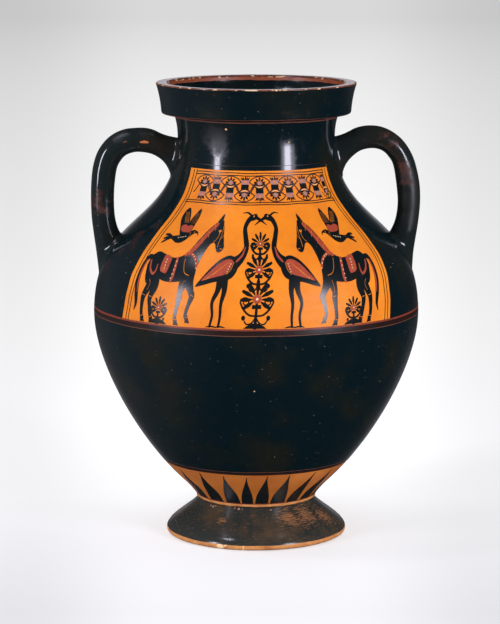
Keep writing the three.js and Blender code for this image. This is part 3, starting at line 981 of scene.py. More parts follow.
print("colours to paint with:", sorted(FINISHES))

# %% [markdown]
# ## Horse
#
# The panels hold a design of motifs that many a jar carries: two cranes beside a palmette tree, and a
# harnessed horse with a bird over it on either side. Each motif faces right with its feet at height 0,
# and is turned over for the other side. It is four lists of flat shapes: black, red, the lines scratched
# through both, and dots of cream. Body parts are overlapping outlines and strokes, as a brush lays them,
# because a leg is easier to mend alone than as a stretch of one long contour.
# %% Horse, its painted shapes
def horse_in_black():
    """Body, head, legs and tail of a standing horse; its hooves are on the line at height 0."""
    trunk = flowing([
        (-43, 71), (-34, 76), (-20, 74), (-4, 71.5), (8, 74), (15, 80), (20, 90), (26, 101), (33, 108.5),
        (39, 110), (45, 106), (52, 97), (59, 88.5), (62, 84.5), (61, 80.5), (56.5, 79.5), (52, 82.5),
        (47, 87.5), (42.5, 88.5), (39.5, 85), (38, 77), (37, 68), (34.5, 60), (30, 53), (22, 48.5),
        (8, 46.5), (-6, 46.5), (-18, 49), (-26, 51.5), (-33, 50), (-40, 54), (-45.5, 62)],
        closed=True, per=6)
    ear = flowing([(33.5, 107), (34.5, 113), (37.5, 117.5), (39.5, 112), (39.5, 108)], closed=True, per=5)
    tail = stroke([(-42, 70), (-49, 69), (-54, 60), (-55.5, 46), (-53, 32), (-50, 20), (-52, 12)],
                  [4.5, 5.5, 6.5, 7.5, 7, 5, 1.5])
    forelock = stroke([(36, 110), (41, 109), (44, 104)], [3, 3, 1])
    legs = [
        stroke([(26, 58), (25, 46), (23.5, 36), (24.5, 30), (23.5, 20), (22.5, 9), (24, 5)],
               [18, 13, 8, 8.4, 5.4, 5, 6]),
        stroke([(30, 58), (34, 47), (40, 38), (43, 32.5), (40.5, 23), (38.5, 13), (41, 8.5)],
               [16, 12, 7.8, 8.2, 5.2, 4.8, 5.6]),
        stroke([(-34, 62), (-33, 50), (-31, 41), (-37, 29), (-37.5, 18), (-36, 8), (-34, 5)],
               [25, 20, 12, 8.4, 6, 5.2, 6]),
        stroke([(-30, 60), (-24, 48), (-20, 40), (-24.5, 28.5), (-22.5, 18), (-19.5, 8), (-17.5, 5)],
               [23, 18, 11.4, 8, 5.8, 5.1, 6]),
    ]
    hooves = [np.array([(x - 2.4, 5.4), (x + 2.6, 5.6), (x + 6, 0.4), (x - 2.2, 0.4)])
              for x in (23.5, -35, -18.5)]
    hooves.append(np.array([(38.6, 8.6), (43.6, 8.8), (46.2, 3.6), (39.2, 3.8)]))
    return [trunk, ear, tail, forelock] + legs + hooves


def horse_in_red():
    """Mane, collar, girth, saddle cloth and the painted bands of haunch and tail."""
    mane = flowing([
        (34, 108.5), (28, 101.5), (22, 91), (17, 82), (11, 75.5), (13, 73.5), (20, 77), (25.5, 84),
        (29, 92), (33, 100), (37, 106)], closed=True, per=5)
    collar = stroke([(20.5, 76.5), (27, 74), (33, 69), (36.2, 63)], [2.6, 2.8, 2.8, 2.6])
    girth = stroke([(2, 71), (4, 62), (5, 53), (3.6, 47)], [3.4, 3.8, 3.8, 3.2])
    haunch = stroke([(-41.5, 66), (-38, 58), (-31, 53), (-27, 56), (-27, 63)], [2.2, 2.6, 2.8, 2.4, 1.4])
    tail_band = stroke([(-49.5, 66), (-52.6, 56), (-53.4, 44), (-51.4, 32)], [1.6, 2.6, 2.8, 1.4])
    cloth = flowing([(-19, 73.6), (-8, 71.6), (-6.5, 66), (-7.5, 56), (-12, 55), (-19, 57), (-21, 62),
                     (-20.6, 69)], closed=True, per=5)
    return [mane, collar, girth, haunch, tail_band, cloth]


print("horse, shapes in black and red:", len(horse_in_black()), len(horse_in_red()))

# %% [markdown]
# ## Scratched lines
#
# The graver scratches joints, harness, eye and mane down to the clay in lines half a millimetre wide or a
# little more. They are strokes as well, but are cut out of the black instead of laid on it.
# %% Horse, its scratched lines and dots
def horse_lines():
    """What the graver scratches: joints, harness, eye, nostril, jaw and the strands of the mane."""
    scratches = [
        ([(14, 72), (17, 64), (22, 57), (30, 54.6)], 0.7),
        ([(43, 89.5), (45.5, 93), (45, 98), (41.5, 101)], 0.7),
        ([(52.5, 96), (50.6, 91.6), (52.6, 85)], 0.7), ([(45.2, 105), (48.4, 99), (50.6, 92)], 0.6),
        ([(57.4, 83.4), (60.8, 82.6)], 0.6), ([(22, 32.6), (27, 31.4)], 0.6),
        ([(40.4, 34.8), (45.4, 33)], 0.6),
        ([(-39.5, 30.4), (-34.4, 29.4)], 0.6), ([(-26.8, 29.4), (-21.8, 28.6)], 0.6),
        ([(21, 6.6), (26, 6.8)], 0.6), ([(38.6, 10), (43.8, 9.6)], 0.6), ([(-38, 6.8), (-33, 7)], 0.6),
        ([(-21.5, 6.8), (-16.4, 7)], 0.6), ([(-33, 47), (-30, 42), (-33, 35)], 0.6),
        ([(25.6, 49), (23.8, 42), (24, 36)], 0.6),
        ([(-10.4, 70.5), (-9.6, 65), (-10.4, 58.6), (-13, 57.6), (-17.4, 59.4), (-18.6, 63),
          (-18, 71.4)], 0.55),
    ]
    cuts = [stroke(points, width) for points, width in scratches]
    cuts.append(disc(44.2, 100.2, 1.5, count=12))
    for k in range(5):
        x, y = 33.5 - 4.3 * k, 104.5 - 6.6 * k
        cuts.append(stroke([(x - 2.6, y + 2.0), (x + 0.6, y - 0.6), (x + 2.6, y - 4.0)], 0.55))
    return cuts


def horse():
    """A standing, harnessed horse that looks to the right."""
    cream = [disc(22.8 + 3.6 * k, 76 - 1.2 * k - 0.55 * k * k, 0.75, count=8) for k in range(5)]
    cream += [disc(3 + 0.5 * math.sin(k), 68 - 4.4 * k, 0.75, count=8) for k in range(5)]
    cream += [disc(-14.4 + 0.4 * k, 69 - 3.0 * k, 0.8, count=8) for k in range(4)]
    return horse_in_black(), horse_in_red(), horse_lines(), cream


print("horse, shapes in black, red, scratched and cream:", [len(shapes) for shapes in horse()])

# %% [markdown]
# ## Crane
#
# A crane is one long S-curve of neck, so it is almost all brush strokes: a thick stroke that thins for
# the neck, long ones for the legs, and a folded wing in red with its feathers scratched in.
# %% Crane
def crane():
    """A tall wading bird that looks to the right."""
    trunk = flowing([(15, 60), (12, 68.5), (3, 72.5), (-8, 69), (-19, 60.5), (-29, 50), (-36, 41.5),
                     (-30, 42), (-22, 44), (-12, 46.5), (0, 48), (10, 51.5)], closed=True, per=6)
    neck = stroke([(9, 64), (17, 71), (20.5, 80), (17, 89), (13.5, 98), (16.5, 106), (23, 108.6)],
                  [14, 10, 6.4, 5.4, 5, 5.6, 6.2])
    beak = stroke([(23.5, 108.4), (31, 105.4), (39.5, 101)], [3.6, 2.2, 0.5])
    crest = stroke([(19, 109.5), (13, 112.5), (7, 112)], [2.2, 1.6, 0.5])
    leg_widths = [9.5, 6.2, 4, 3.2, 2.8]
    legs = [stroke([(1, 50), (3, 38), (1, 25), (1.6, 12), (0.6, 1.6)], leg_widths),
            stroke([(-4, 49), (-5.6, 38), (-10.6, 26), (-8.6, 13), (-10.6, 1.6)], leg_widths)]
    feet = []
    for x in (0.6, -10.6):
        feet += [stroke([(x, 1.8), (x + 5, 1.4), (x + 9, 0.6)], [1.8, 1.6, 0.6]),
                 stroke([(x, 1.8), (x - 3, 1.2), (x - 5, 0.6)], [1.6, 1.2, 0.6])]
    wing = flowing([(8, 66), (2, 69), (-8, 65.5), (-19, 57), (-29, 47.6), (-20, 49.5), (-9, 52), (2, 55.5)],
                   closed=True, per=6)
    red = [wing, stroke([(12, 67), (17.4, 72.6), (19.4, 80)], [2, 2.6, 1.2])]
    cuts = [stroke([(9, 66), (6.6, 59), (2, 54.6)], 0.7), disc(21.4, 109.2, 0.9, count=10)]
    for k in range(4):
        cuts.append(stroke([(3 - 4 * k, 66.5 - 2.6 * k), (-7 - 4.4 * k, 59.5 - 3.0 * k),
                            (-15 - 3.6 * k, 53.6 - 1.8 * k)], 0.6))
    cream = [disc(5.4 - 0.9 * k, 64.5 - 2.5 * k, 0.6, count=8) for k in range(4)]
    return [trunk, neck, beak, crest] + legs + feet, red, cuts, cream


print("crane, shapes in black, red, scratched and cream:", [len(shapes) for shapes in crane()])

# %% [markdown]
# ## Palmette tree
#
# Between the cranes stands a stem of palmettes and volutes, an ornament that every painter knew by heart.
# It follows rules: petals on a fan, arms that end in spirals, buds that hang below. So it is code and not
# a drawing, and the same function gives the small palmettes in the corners.
# %% Palmette tree
def fan(x, y, petals, inner, outer, spread_deg, width):
    """Petals spread like a fan round a heart, from upright."""
    shapes = []
    for k in range(petals):
        share = k / (petals - 1) * 2 - 1
        angle = math.radians(90 + share * spread_deg / 2)
        reach = outer * (1 - 0.12 * abs(share))
        tip = (x + reach * math.cos(angle), y + reach * math.sin(angle))
        root = (x + inner * math.cos(angle), y + inner * math.sin(angle))
        middle = (0.5 * (tip[0] + root[0]), 0.5 * (tip[1] + root[1]))
        shapes.append(stroke([root, middle, tip], [width * 0.35, width, width * 0.75], per=4))
    return shapes


def spiral(x, y, start_deg, turns, outer, side, width, per_turn=14):
    """A volute that winds inwards from its outer end."""
    count = int(turns * per_turn) + 1
    points = []
    for k in range(count):
        share = k / (count - 1)
        angle = math.radians(start_deg + side * 360 * turns * share)
        radius = outer * (1 - 0.82 * share)
        points.append((x + radius * math.cos(angle), y + radius * math.sin(angle)))
    return stroke(points, np.linspace(width, width * 0.7, count), per=3)


def tree(tiers=((24, 1.1), (56, 0.9), (84, 0.62))):
    """A stem of palmettes and lotus buds, the same on both sides; a tier is its height and its size."""
    top = tiers[-1][0]
    black = [stroke([(0, 0), (0, top / 3), (0, top * 0.7), (0, top)], [3.4, 2.6, 2.4, 2.4]),
             np.array([(-13, 0.2), (13, 0.2), (9, 3.4), (3, 6), (-3, 6), (-9, 3.4)])]
    red, cream = [], []
    for base, size in tiers:
        heart = base + 7.6 * size
        foot_of_tier = np.array([0, base])
        black.append(np.array([(-4.6, -2), (4.6, -2), (4.6, 2), (-4.6, 2)]) * size + foot_of_tier)
        red.append(disc(0, heart, 4.4 * size))
        cream.append(disc(0, heart, 1.3 * size, count=10))
        black.extend(fan(0, heart, 9, 5.4 * size, 17 * size, 250, 4.3 * size))
        for side in (-1, 1):
            arm = np.array([(0, -9), (side * 7, -8), (side * 13, -2.5), (side * 16.5, 4)]) * size
            black.append(stroke(arm + foot_of_tier, [2, 2.2, 2.2, 1.8]))
            black.append(spiral(side * 11.6 * size, base + 4.6 * size, 90 - side * 90, 1.35, 5.0 * size,
                                side, 1.6))
            bud = np.array([(0, -10), (side * 4, -16), (side * 9, -17), (side * 12.5, -12)]) * size
            black.append(stroke(bud + foot_of_tier, [1.6, 1.7, 1.6, 1.2]))
            black.append(disc(side * 12.5 * size, base - 11 * size, 2.0 * size, 1.3, 12))
    return black, red, [], cream


print("tree, shapes in black, red, scratched and cream:", [len(shapes) for shapes in tree()])

# %% [markdown]
# ## Bird
#
# A small bird in flight fills the empty corner over each horse. Both wings are the same shape, one
# leaning back more than the other, so a loop draws them.
# %% Bird
def bird():
    """A bird in flight to the right, both wings raised."""
    trunk = flowing([(-24, 1), (-14, -1.5), (-4, -4), (6, -3.5), (13, 0), (17, 3.6), (21, 6.6), (25, 7.4),
                     (23, 9.6), (18, 10.6), (13, 9), (8, 6.4), (0, 4.4), (-10, 3.4)], closed=True, per=6)
    beak = stroke([(23.4, 8.6), (27.5, 7.6), (30.5, 5.2)], [2.6, 1.6, 0.5])
    tail = [stroke([(-18, 1.2), (-27, 0.6 + k * 2.6), (-34, -1 + k * 4.2)], [2.6, 2.8, 2.2])
            for k in (-1, 0, 1)]
    wings, red, cuts = [], [], []
    for x, lean in ((2, -17), (7, 2)):
        wings.append(flowing([
            (x + 5, 4), (x + 5 + lean * 0.3, 14), (x + 4 + lean * 0.75, 26), (x + lean, 33),
            (x - 5 + lean * 1.1, 29), (x - 9 + lean * 0.9, 21), (x - 8 + lean * 0.4, 11), (x - 5, 3)],
            closed=True, per=6))
        red.append(flowing([
            (x + 4.4 + lean * 0.12, 8), (x + 4 + lean * 0.3, 13.6), (x - 1 + lean * 0.4, 15.2),
            (x - 7 + lean * 0.38, 13), (x - 6 + lean * 0.15, 8.4), (x - 1, 7.4)], closed=True, per=4))
        for k in range(4):
            cuts.append(stroke([
                (x - 4.4 + 2.6 * k + lean * 0.42, 17), (x - 5.4 + 2.4 * k + lean * 0.7, 23),
                (x - 4.6 + 2.0 * k + lean * 0.95, 28.4)], 0.55))
    cuts += [disc(20.6, 8.2, 0.8, count=8), stroke([(13.6, 8.2), (15, 4.6), (14, 1.2)], 0.6)]
    cream = [disc(-4 + 3.2 * k, 1.2 + 0.5 * k, 0.6, count=8) for k in range(5)]
    return [trunk, beak] + tail + wings, red, cuts, cream


print("bird, shapes in black, red, scratched and cream:", [len(shapes) for shapes in bird()])

# %% [markdown]
# ## The two picture panels
#
# Each panel is a window of burnished clay with double lines down both sides. The field leans a little,
# as the painter left it. The back is out of sight in the photograph, and repeats the front.
# %% Figures and frame lines
FIELD_LINE = 273.4
FIELD_START, FIELD_LEAN = -0.5, 4.2
FRAME_LINE_INSETS = {-1: (6.6, 11.0), 1: (5.2, 10.0)}
FRAME_LINE_WIDTH = 1.1


def put(store, motif, turn, offset, scale=(1, 1), rise=0.0):
    """Puts a motif on a panel; offset is its angle from the middle, and a minus scale turns it over."""
    black, red, cuts, cream = motif

    def leaning(height):
        return turn + FIELD_START + FIELD_LEAN * up_panel(height) + offset

    for colour, fills, scratched, lift in (("black", black, cuts, BLACK_LIFT), ("red", red, cuts, RED_LIFT),
                                           ("cream", cream, [], CREAM_LIFT)):
        paint(store, colour, fills, scratched, leaning, FIELD_LINE, lift, scale, rise)


panels = {}
for turn in (0, 180):
    panel = panels.setdefault(turn, {})
    put(panel, tree(), turn, 0)
    for side in (-1, 1):
        put(panel, crane(), turn, side * 12.6, (-side * 0.88, 1.06))
        put(panel, horse(), turn, side * 34, (-side * 0.8, 1.0))
        put(panel, bird(), turn, side * 37.5, (-side * 0.66, 0.95), 90)
        put(panel, tree(((13, 0.66),)), turn, side * 35.4)
        heights = np.linspace(PANEL_BOTTOM - 0.5, PANEL_TOP - 1.2, 60)
        for inset in FRAME_LINE_INSETS[side]:
            inwards = np.degrees(inset / radius_at(body, heights))
            ribbon(panel, "black", turn + PANEL_TURN + panel_edge(side, heights) - side * inwards, heights,
                   FRAME_LINE_WIDTH, BLACK_LIFT)
    print("panel", turn, {colour: part["count"] for colour, part in panel.items()})

# %% [markdown]
# ## The chain of palmettes and lotus buds
#
# Over each field runs the chain that black-figure painters put there by habit: round palmettes and buds
# turn up and down by turns, tied by a waving stem, between double lines. It is an old shared ornament,
# so it is kept as the photograph shows it. One unit is drawn once and turned over for its neighbour, and
# the last one is squeezed in, because the painter had run out of room.
# %% One unit of the chain
CHAIN_LINE, CHAIN_HEIGHT = 403.6, 27.4
SQUEEZE_SHARE = 0.62


def mirrored(points):
    """The same run of points on the other side of a unit."""
    return [(-x, y) for x, y in points]


def palmette_and_bud():
    """The black, the rubbed purple, its dot and the cream of a unit, with the palmette on top."""
    black = fan(0, 19.3, 7, 2.4, 6.2, 222, 2.3)
    black.append(stroke([(-5.2, 19.4), (-2.6, 17.7), (0, 17.3), (2.6, 17.7), (5.2, 19.4)],
                        [0.8, 1.4, 1.4, 1.4, 0.8], per=4))
    black.append(np.array([(-4.3, 8.8), (4.3, 8.8), (4.2, 15.5), (1.5, 14.8), (-1.5, 14.8), (-4.2, 15.5)]))
    for leaf, widths in (([(3.2, 4.8), (3.6, 3.0), (5.0, 1.5)], [1.0, 1.7, 0.6]),
                         ([(1.6, 4.7), (1.9, 3.0), (2.4, 1.2)], [1.0, 1.6, 0.6])):
        black += [stroke(leaf, widths, per=3), stroke(mirrored(leaf), widths, per=3)]
    black.append(stroke([(0, 4.6), (0.2, 2.2), (0.4, 0.1)], [1.0, 1.6, 0.6], per=3))
    mauve = [disc(0, 20.0, 2.6, 0.9, 14), np.array([
        (-4.0, 9.0), (4.0, 9.0), (4.1, 7.0), (5.1, 4.9), (2.6, 4.3), (-2.6, 4.3), (-5.1, 4.9), (-4.1, 7.0)])]
    cream = [stroke([(-4.6, 17.0), (-2.6, 16.0), (0, 15.6), (2.6, 16.0), (4.6, 17.0)],
                    [0.3, 0.5, 0.6, 0.5, 0.3], per=4)]
    return black, mauve, [disc(0, 6.1, 1.7, 0.5, 12)], cream


def tendrils(squeezed):
    """The stems that frame a unit and tie it to its neighbours; a squeezed unit has only its arch."""
    runs = [([(-11.5, 20.7), (-9.7, 23.4), (-6.2, 25.6), (-2.4, 27.0), (2.4, 27.0), (6.2, 25.6), (9.7, 23.4),
              (11.8, 20.4)], 1.2)]
    if not squeezed:
        for run, width in (([(5.3, 19.2), (8.0, 15.7), (10.6, 10.9), (12.6, 8.0)], 1.3),
                           ([(10.9, 20.4), (7.4, 17.8), (3.8, 15.2)], [1.0, 1.6, 1.6])):
            runs += [(run, width), (mirrored(run), width)]
    return [stroke(run, width, per=4) for run, width in runs]


def chain_unit(is_upright, squeezed):
    """One palmette over its bud, with its tendrils, as shapes by colour."""
    black, mauve, dot, cream = palmette_and_bud()
    shapes = {"black": (black, []), "mauve": (mauve, dot), "cream": (cream, []),
              "tendril": (tendrils(squeezed), [])}
    size = np.array([SQUEEZE_SHARE if squeezed else 1.0, 1.0 if is_upright else -1.0])
    rise = np.array([0.0, 0.0 if is_upright else CHAIN_HEIGHT])
    return {colour: [[np.asarray(q) * size + rise for q in part] for part in parts]
            for colour, parts in shapes.items()}


print("a unit of the chain:", {colour: len(parts[0]) for colour, parts in chain_unit(True, False).items()})

# %% [markdown]
# ## Chain, double lines and hanging the panels
#
# The ten units stand where the painter put them, a little unevenly. The double lines above and below run
# freehand between the panel's edges. Then each colour of a panel becomes one sheet.
# %% Chain and double lines
CHAIN_CENTRES = (-35.9, -26.7, -16.9, -7.3, 2.2, 12.1, 21.5, 32.0, 41.7, 49.8)
CHAIN_LIFTS = {"cream": CREAM_LIFT, "mauve": RED_LIFT, "black": BLACK_LIFT, "tendril": BLACK_LIFT}
DOUBLE_LINES = ((434.3, 11.0), (431.5, 11.0), (403.0, 9.0), (400.7, 9.0))

for turn, panel in panels.items():
    for k, centre in enumerate(CHAIN_CENTRES):
        for colour, (fills, cuts) in chain_unit(k % 2 == 0, k == len(CHAIN_CENTRES) - 1).items():
            paint(panel, colour, fills, cuts, upright(turn + centre), CHAIN_LINE, CHAIN_LIFTS[colour], grid=3)
    for height, inset in DOUBLE_LINES:
        left = panel_edge(-1, height) + math.degrees(inset / float(radius_at(body, height)))
        right = panel_edge(1, height) - math.degrees((inset - 1) / float(radius_at(body, height)))
        angles = turn + PANEL_TURN + np.linspace(left, right, 70)
        freehand = height + 0.25 * np.sin(angles * 0.3)
        ribbon(panel, "black", angles, freehand, FRAME_LINE_WIDTH, BLACK_LIFT)
    hang(panel, f"panel_{'front' if turn == 0 else 'back'}")

# %% [markdown]
# ## Rays
#
# Black rays stand round the narrow foot of the bowl: broad at the base, drawn out to a hair that leans
# and just meets the black above. The eight that the photograph shows keep their places, and the rest
# follow at the same spacing, with small differences drawn from a seeded hand.
# %% Rays
RAY_LINE = 47.2
# how wide a ray is at each share of its height, as a share of its base
RAY_SHARES = ((0, 1), (0.12, 1), (0.3, 0.92), (0.5, 0.66), (0.68, 0.37), (0.82, 0.17), (0.93, 0.07),
              (1, 0.035))
HIDDEN_RAYS = 16
FIRST_HIDDEN, LAST_HIDDEN = 68.4, 285.2

# each ray is its angle, its half width and its lean, all in degrees
rays = [(-58.5, 7.0, 3.4), (-39.3, 7.6, 2.6), (-21.5, 6.9, 1.1), (-7.9, 5.3, 2.1), (5.1, 6.0, 1.8),
        (20.0, 7.0, 0.8), (35.2, 6.2, 3.9), (52.2, 7.4, 2.6)]
ray_draw = random.Random(11)
for centre in np.linspace(FIRST_HIDDEN, LAST_HIDDEN, HIDDEN_RAYS):
    rays.append((centre, ray_draw.uniform(5.8, 6.8), ray_draw.uniform(-1, 3)))

ornament = {}
for centre, half_angle, lean in rays:
    tall = ray_draw.uniform(39.4, 42.0)
    base = math.radians(half_angle) * float(radius_at(body, RAY_LINE))
    left, right = [], []
    for up, share in RAY_SHARES:
        middle = math.radians(lean) * up ** 1.3 * float(radius_at(body, RAY_LINE + tall * up))
        half = base * share * (1 + 0.1 * up)
        left.append((middle - half, tall * up))
        right.append((middle + half, tall * up))
    shape = np.concatenate([flowing(left, per=4), flowing(right, per=4)[::-1]])
    paint(ornament, "black", [shape], [], upright(centre), RAY_LINE, BLACK_LIFT, grid=4)
print("rays:", len(rays))

# %% [markdown]
# ## Level lines
#
# Thin level lines of added red were run on while the jar turned, so they waver a little together. The
# dark washes are where a loaded brush overlapped the black. At the resting edge a thin dark line is
# painted contact shadow, where the foot meets the floor.
# %% Level lines
# each line is its colour, its height and its width
LEVEL_LINES = (("line", 272.0, 2.0), ("dull", 265.2, 0.9), ("wash", 268.6, 5.0), ("wash", 442.0, 0.6),
               ("dull", 490.8, 1.6), ("wash", 91.9, 3.0), ("dull", 94.6, 0.7), ("line", 47.4, 1.0))
EDGE_LINE_LIFT = 0.18
LIP_EDGE, CONTACT_SHADOW_HEIGHT = 494.9, 1.3

around = np.arange(TURN_STEPS) * 360 / TURN_STEPS
unsteady = 0.18 * np.sin(np.radians(around) * 5) + 0.1 * np.sin(np.radians(around) * 17 + 1)
for colour, height, width in LEVEL_LINES:
    lift = RED_LIFT + (0 if colour == "wash" else 0.02)
    ribbon(ornament, colour, around, height + unsteady, width, lift, closed=True)
# the lip's edge takes a rubbed red line; the thin dark line at the foot's resting edge is painted contact
# shadow
for line, height, width in ((lip_face, LIP_EDGE, 0.7), (foot, CONTACT_SHADOW_HEIGHT, 1.1)):
    ribbon(ornament, "dull", around, height + unsteady, width, EDGE_LINE_LIFT, closed=True, line=line)
hang(ornament, "ring")

# %% [markdown]
# ## The handles
#
# Each handle is a rolled coil of clay, bent while soft, with one end pressed on the neck and the other
# smeared onto the shoulder. No two come out alike, so each is a skin through slanting sections, given by
# the outer and the inner contour that the photograph shows. A curve with a bevel would be simpler, but it
# has the same round section everywhere.
# %% Sections of the handles
# outer (x, z) and inner (x, z) of each section in millimetres, from the neck to the shoulder
handle_sections = {
    -1: [(81.7, 462.9, 85.6, 416.9), (90.3, 465.0, 98.2, 419.3), (98.2, 466.6, 99.7, 423.5),
         (104.5, 468.2, 101.9, 429.0), (110.9, 470.6, 106.1, 435.8), (118.7, 474.3, 112.5, 441.7),
         (128.2, 476.5, 122.0, 446.5), (139.2, 476.6, 135.3, 448.6), (151.9, 475.1, 144.9, 447.3),
         (164.4, 470.0, 152.1, 443.8), (175.3, 461.1, 157.6, 437.4), (184.0, 448.1, 161.2, 430.0),
         (189.1, 432.0, 163.2, 419.3), (191.3, 413.7, 164.6, 405.8), (191.9, 393.0, 165.1, 391.4),
         (191.3, 373.9, 164.6, 377.9), (189.4, 356.3, 162.9, 366.7), (187.2, 340.3, 159.6, 357.1),
         (185.0, 322.6, 153.6, 348.5), (183.0, 303.4, 147.1, 338.7)],
    1: [(82.7, 463.9, 85.9, 416.9), (91.9, 467.0, 99.3, 419.3), (100.1, 469.5, 100.2, 424.3),
        (107.2, 472.8, 102.1, 430.6), (113.5, 476.1, 105.6, 436.9), (120.9, 478.4, 112.0, 444.1),
        (130.1, 479.5, 121.0, 450.4), (140.3, 478.9, 132.4, 453.0), (149.7, 476.2, 141.4, 452.0),
        (159.0, 471.3, 148.3, 448.4), (168.5, 463.5, 153.6, 442.7), (176.3, 453.2, 157.4, 436.7),
        (182.6, 440.6, 159.9, 428.0), (187.0, 424.8, 161.8, 416.1), (189.7, 409.0, 163.4, 403.4),
        (190.3, 391.4, 164.2, 391.4), (189.2, 375.5, 163.4, 379.5), (187.4, 361.1, 161.0, 368.3),
        (185.1, 346.7, 157.0, 358.9), (182.9, 330.7, 151.5, 350.0), (181.8, 311.4, 145.8, 340.3),
        (181.0, 301.0, 140.5, 331.5)]}
print("sections:", {side: len(sections) for side, sections in handle_sections.items()})

# %% [markdown]
# ## Where a coil meets the wall
#
# The potter's wet thumb works the end of the coil into the wall, so there is no crease. A Boolean and a
# bevel would cost a dense mesh and could fail. Moving each point is enough: near the wall the coil's skin
# is swept outwards to a small fillet, and what would be inside the wall is held just under its surface,
# out of sight.
# %% Where a coil meets the wall
COIL_HALF_WIDTH = 13.7
HELD_UNDER = 2.5


def wall_depth(place):
    """Distance of a place inside the clay's outside (negative outside), and the wall's outward normal."""
    r, z = math.hypot(place[0], place[1]), place[2]
    near = int(np.argmin((body["r"] - r) ** 2 + (body["z"] - z) ** 2))
    nr, nz = float(body["nr"][near]), float(body["nz"][near])
    depth = (body["r"][near] - r) * nr + (body["z"][near] - z) * nz
    return float(depth), np.array([nr * place[0] / r, nr * place[1] / r, nz])


def half_width(share):
    """Half the width across a handle, which spreads at its two roots; share runs from neck to shoulder."""
    upper, lower = max(0, 1 - share / 0.2), max(0, (share - 0.74) / 0.26)
    return COIL_HALF_WIDTH + 2.5 * upper ** 2 + 5.0 * lower ** 1.5


def luted(place, centre, fillet):
    """A place on the coil, swept out to a fillet near the wall and held just under the wall inside it."""
    depth, normal = wall_depth(place)
    away = place - centre
    away -= normal * away.dot(normal)
    size = np.linalg.norm(away)
    if size > 1e-6 and depth > -fillet:
        gap = max(0.0, -depth)
        sweep = fillet - math.sqrt(max(0.0, fillet ** 2 - (fillet - gap) ** 2))
        place = place + away / size * sweep
        depth, normal = wall_depth(place)
    return place + normal * max(0.0, depth - HELD_UNDER)


print("the coil is", round(2 * half_width(0.5), 1), "mm across, and", round(2 * half_width(1), 1),
      "at the shoulder")

# %% [markdown]
# ## The two coils
#
# Each handle joins its sections into one closed skin. It is drawn on the right and turned over for the
# left, from that handle's own sections.
# %% Handles
COIL_SIDES = 48
FILLET_RADIUS = 6.0


def handle(name, side):
    """A handle on the +X side (side 1) or the -X side (side -1)."""
    sections = flowing(handle_sections[side], per=6)
    places = []
    for step, section in enumerate(sections):
        outer, inner = (np.array([section[k], 0, section[k + 1]]) for k in (0, 2))
        centre, arm = (outer + inner) / 2, (outer - inner) / 2
        across = np.array([0, half_width(step / (len(sections) - 1)), 0])
        for angle in 2 * math.pi * np.arange(COIL_SIDES) / COIL_SIDES:
            place = centre + arm * math.cos(angle) + across * math.sin(angle)
            places.append(luted(place, centre, FILLET_RADIUS * abs(math.sin(angle)) + 0.01))
    rings = len(sections)
    faces = woven(COIL_SIDES, rings, True)
    faces.append(list(range(COIL_SIDES)))
    faces.append([i + (rings - 1) * COIL_SIDES for i in range(COIL_SIDES)])
    places = np.array(places)
    places[:, :2] *= side
    piece = new_piece(name, places, faces, handle_slip)
    face_outwards(piece)
    return piece


for name, node, side in (("handle_coil_right", "handle_right", 1), ("handle_coil_left", "handle_left", -1)):
    coil = handle(name, side)
    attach(coil, "root")
    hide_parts(node)
    print(coil.name, len(coil.data.polygons), "faces")

# %% [markdown]
# ## Floor
#
# The jar stands on a pale sweep that runs up out of the frame, so there is no horizon. Its colour is
# painted greyer with distance, to the sides and towards the camera: painted shade round a painted pool
# of light at the jar. A matt surface alone would give a hard dark shadow under the foot. Studio sweeps
# are often lit from beneath as well, so here a third of it is a glow, and the shadow stays soft.
# %% Floor
FLOOR_HALF = 40_000
CAMERA_BACK, LEAST_DISTANCE = 3.0, 2.4
GLOW_SHARE, GLOW_STRENGTH = 0.35, 1.3

floor_material, tree, place = empty_material("pale_floor_with_painted_light")
at = add_node(tree, "ShaderNodeSeparateXYZ", {0: place})
# painted light and shade: these ranges darken the floor's colour away from the jar, leaving a painted pool of
# light round it
far = add_node(tree, "ShaderNodeMapRange", {0: at.outputs["Y"], 1: 1.5, 2: 11, 3: 1.0, 4: 0.7})
near = add_node(tree, "ShaderNodeMapRange", {0: at.outputs["Y"], 1: 0.15, 2: -0.35, 3: 1.0, 4: 0.76})
away = add_node(tree, "ShaderNodeMath", {0: at.outputs["Y"], 1: CAMERA_BACK}, operation="ADD")
away = add_node(tree, "ShaderNodeMath", {0: away, 1: LEAST_DISTANCE}, operation="MAXIMUM")
spread = add_node(tree, "ShaderNodeMath", {0: at.outputs["X"], 1: away}, operation="DIVIDE")
spread = add_node(tree, "ShaderNodeMath", {0: spread}, operation="ABSOLUTE")
beside = add_node(tree, "ShaderNodeMapRange", {
    0: spread, 1: 0.035, 2: 0.096, 3: 1.0, 4: 0.83}, interpolation_type="SMOOTHSTEP")
painted_light_pool = add_node(tree, "ShaderNodeMath", {0: far, 1: near}, operation="MULTIPLY")
painted_light_pool = add_node(tree, "ShaderNodeMath", {0: painted_light_pool, 1: beside}, operation="MULTIPLY")
matt = add_node(tree, "ShaderNodeBsdfDiffuse", {"Color": painted_light_pool})
glow = add_node(tree, "ShaderNodeEmission", {"Color": painted_light_pool, "Strength": GLOW_STRENGTH})
lit = add_node(tree, "ShaderNodeMixShader", {0: GLOW_SHARE, 1: matt, 2: glow})
add_node(tree, "ShaderNodeOutputMaterial", {0: lit})

corners = [(x * FLOOR_HALF, y * FLOOR_HALF, 0) for x, y in ((-1, -1), (1, -1), (1, 1), (-1, 1))]
floor = new_piece("floor", corners, [[0, 1, 2, 3]], floor_material)
floor.visible_glossy = False
print("floor:", floor.dimensions.x, "m wide")

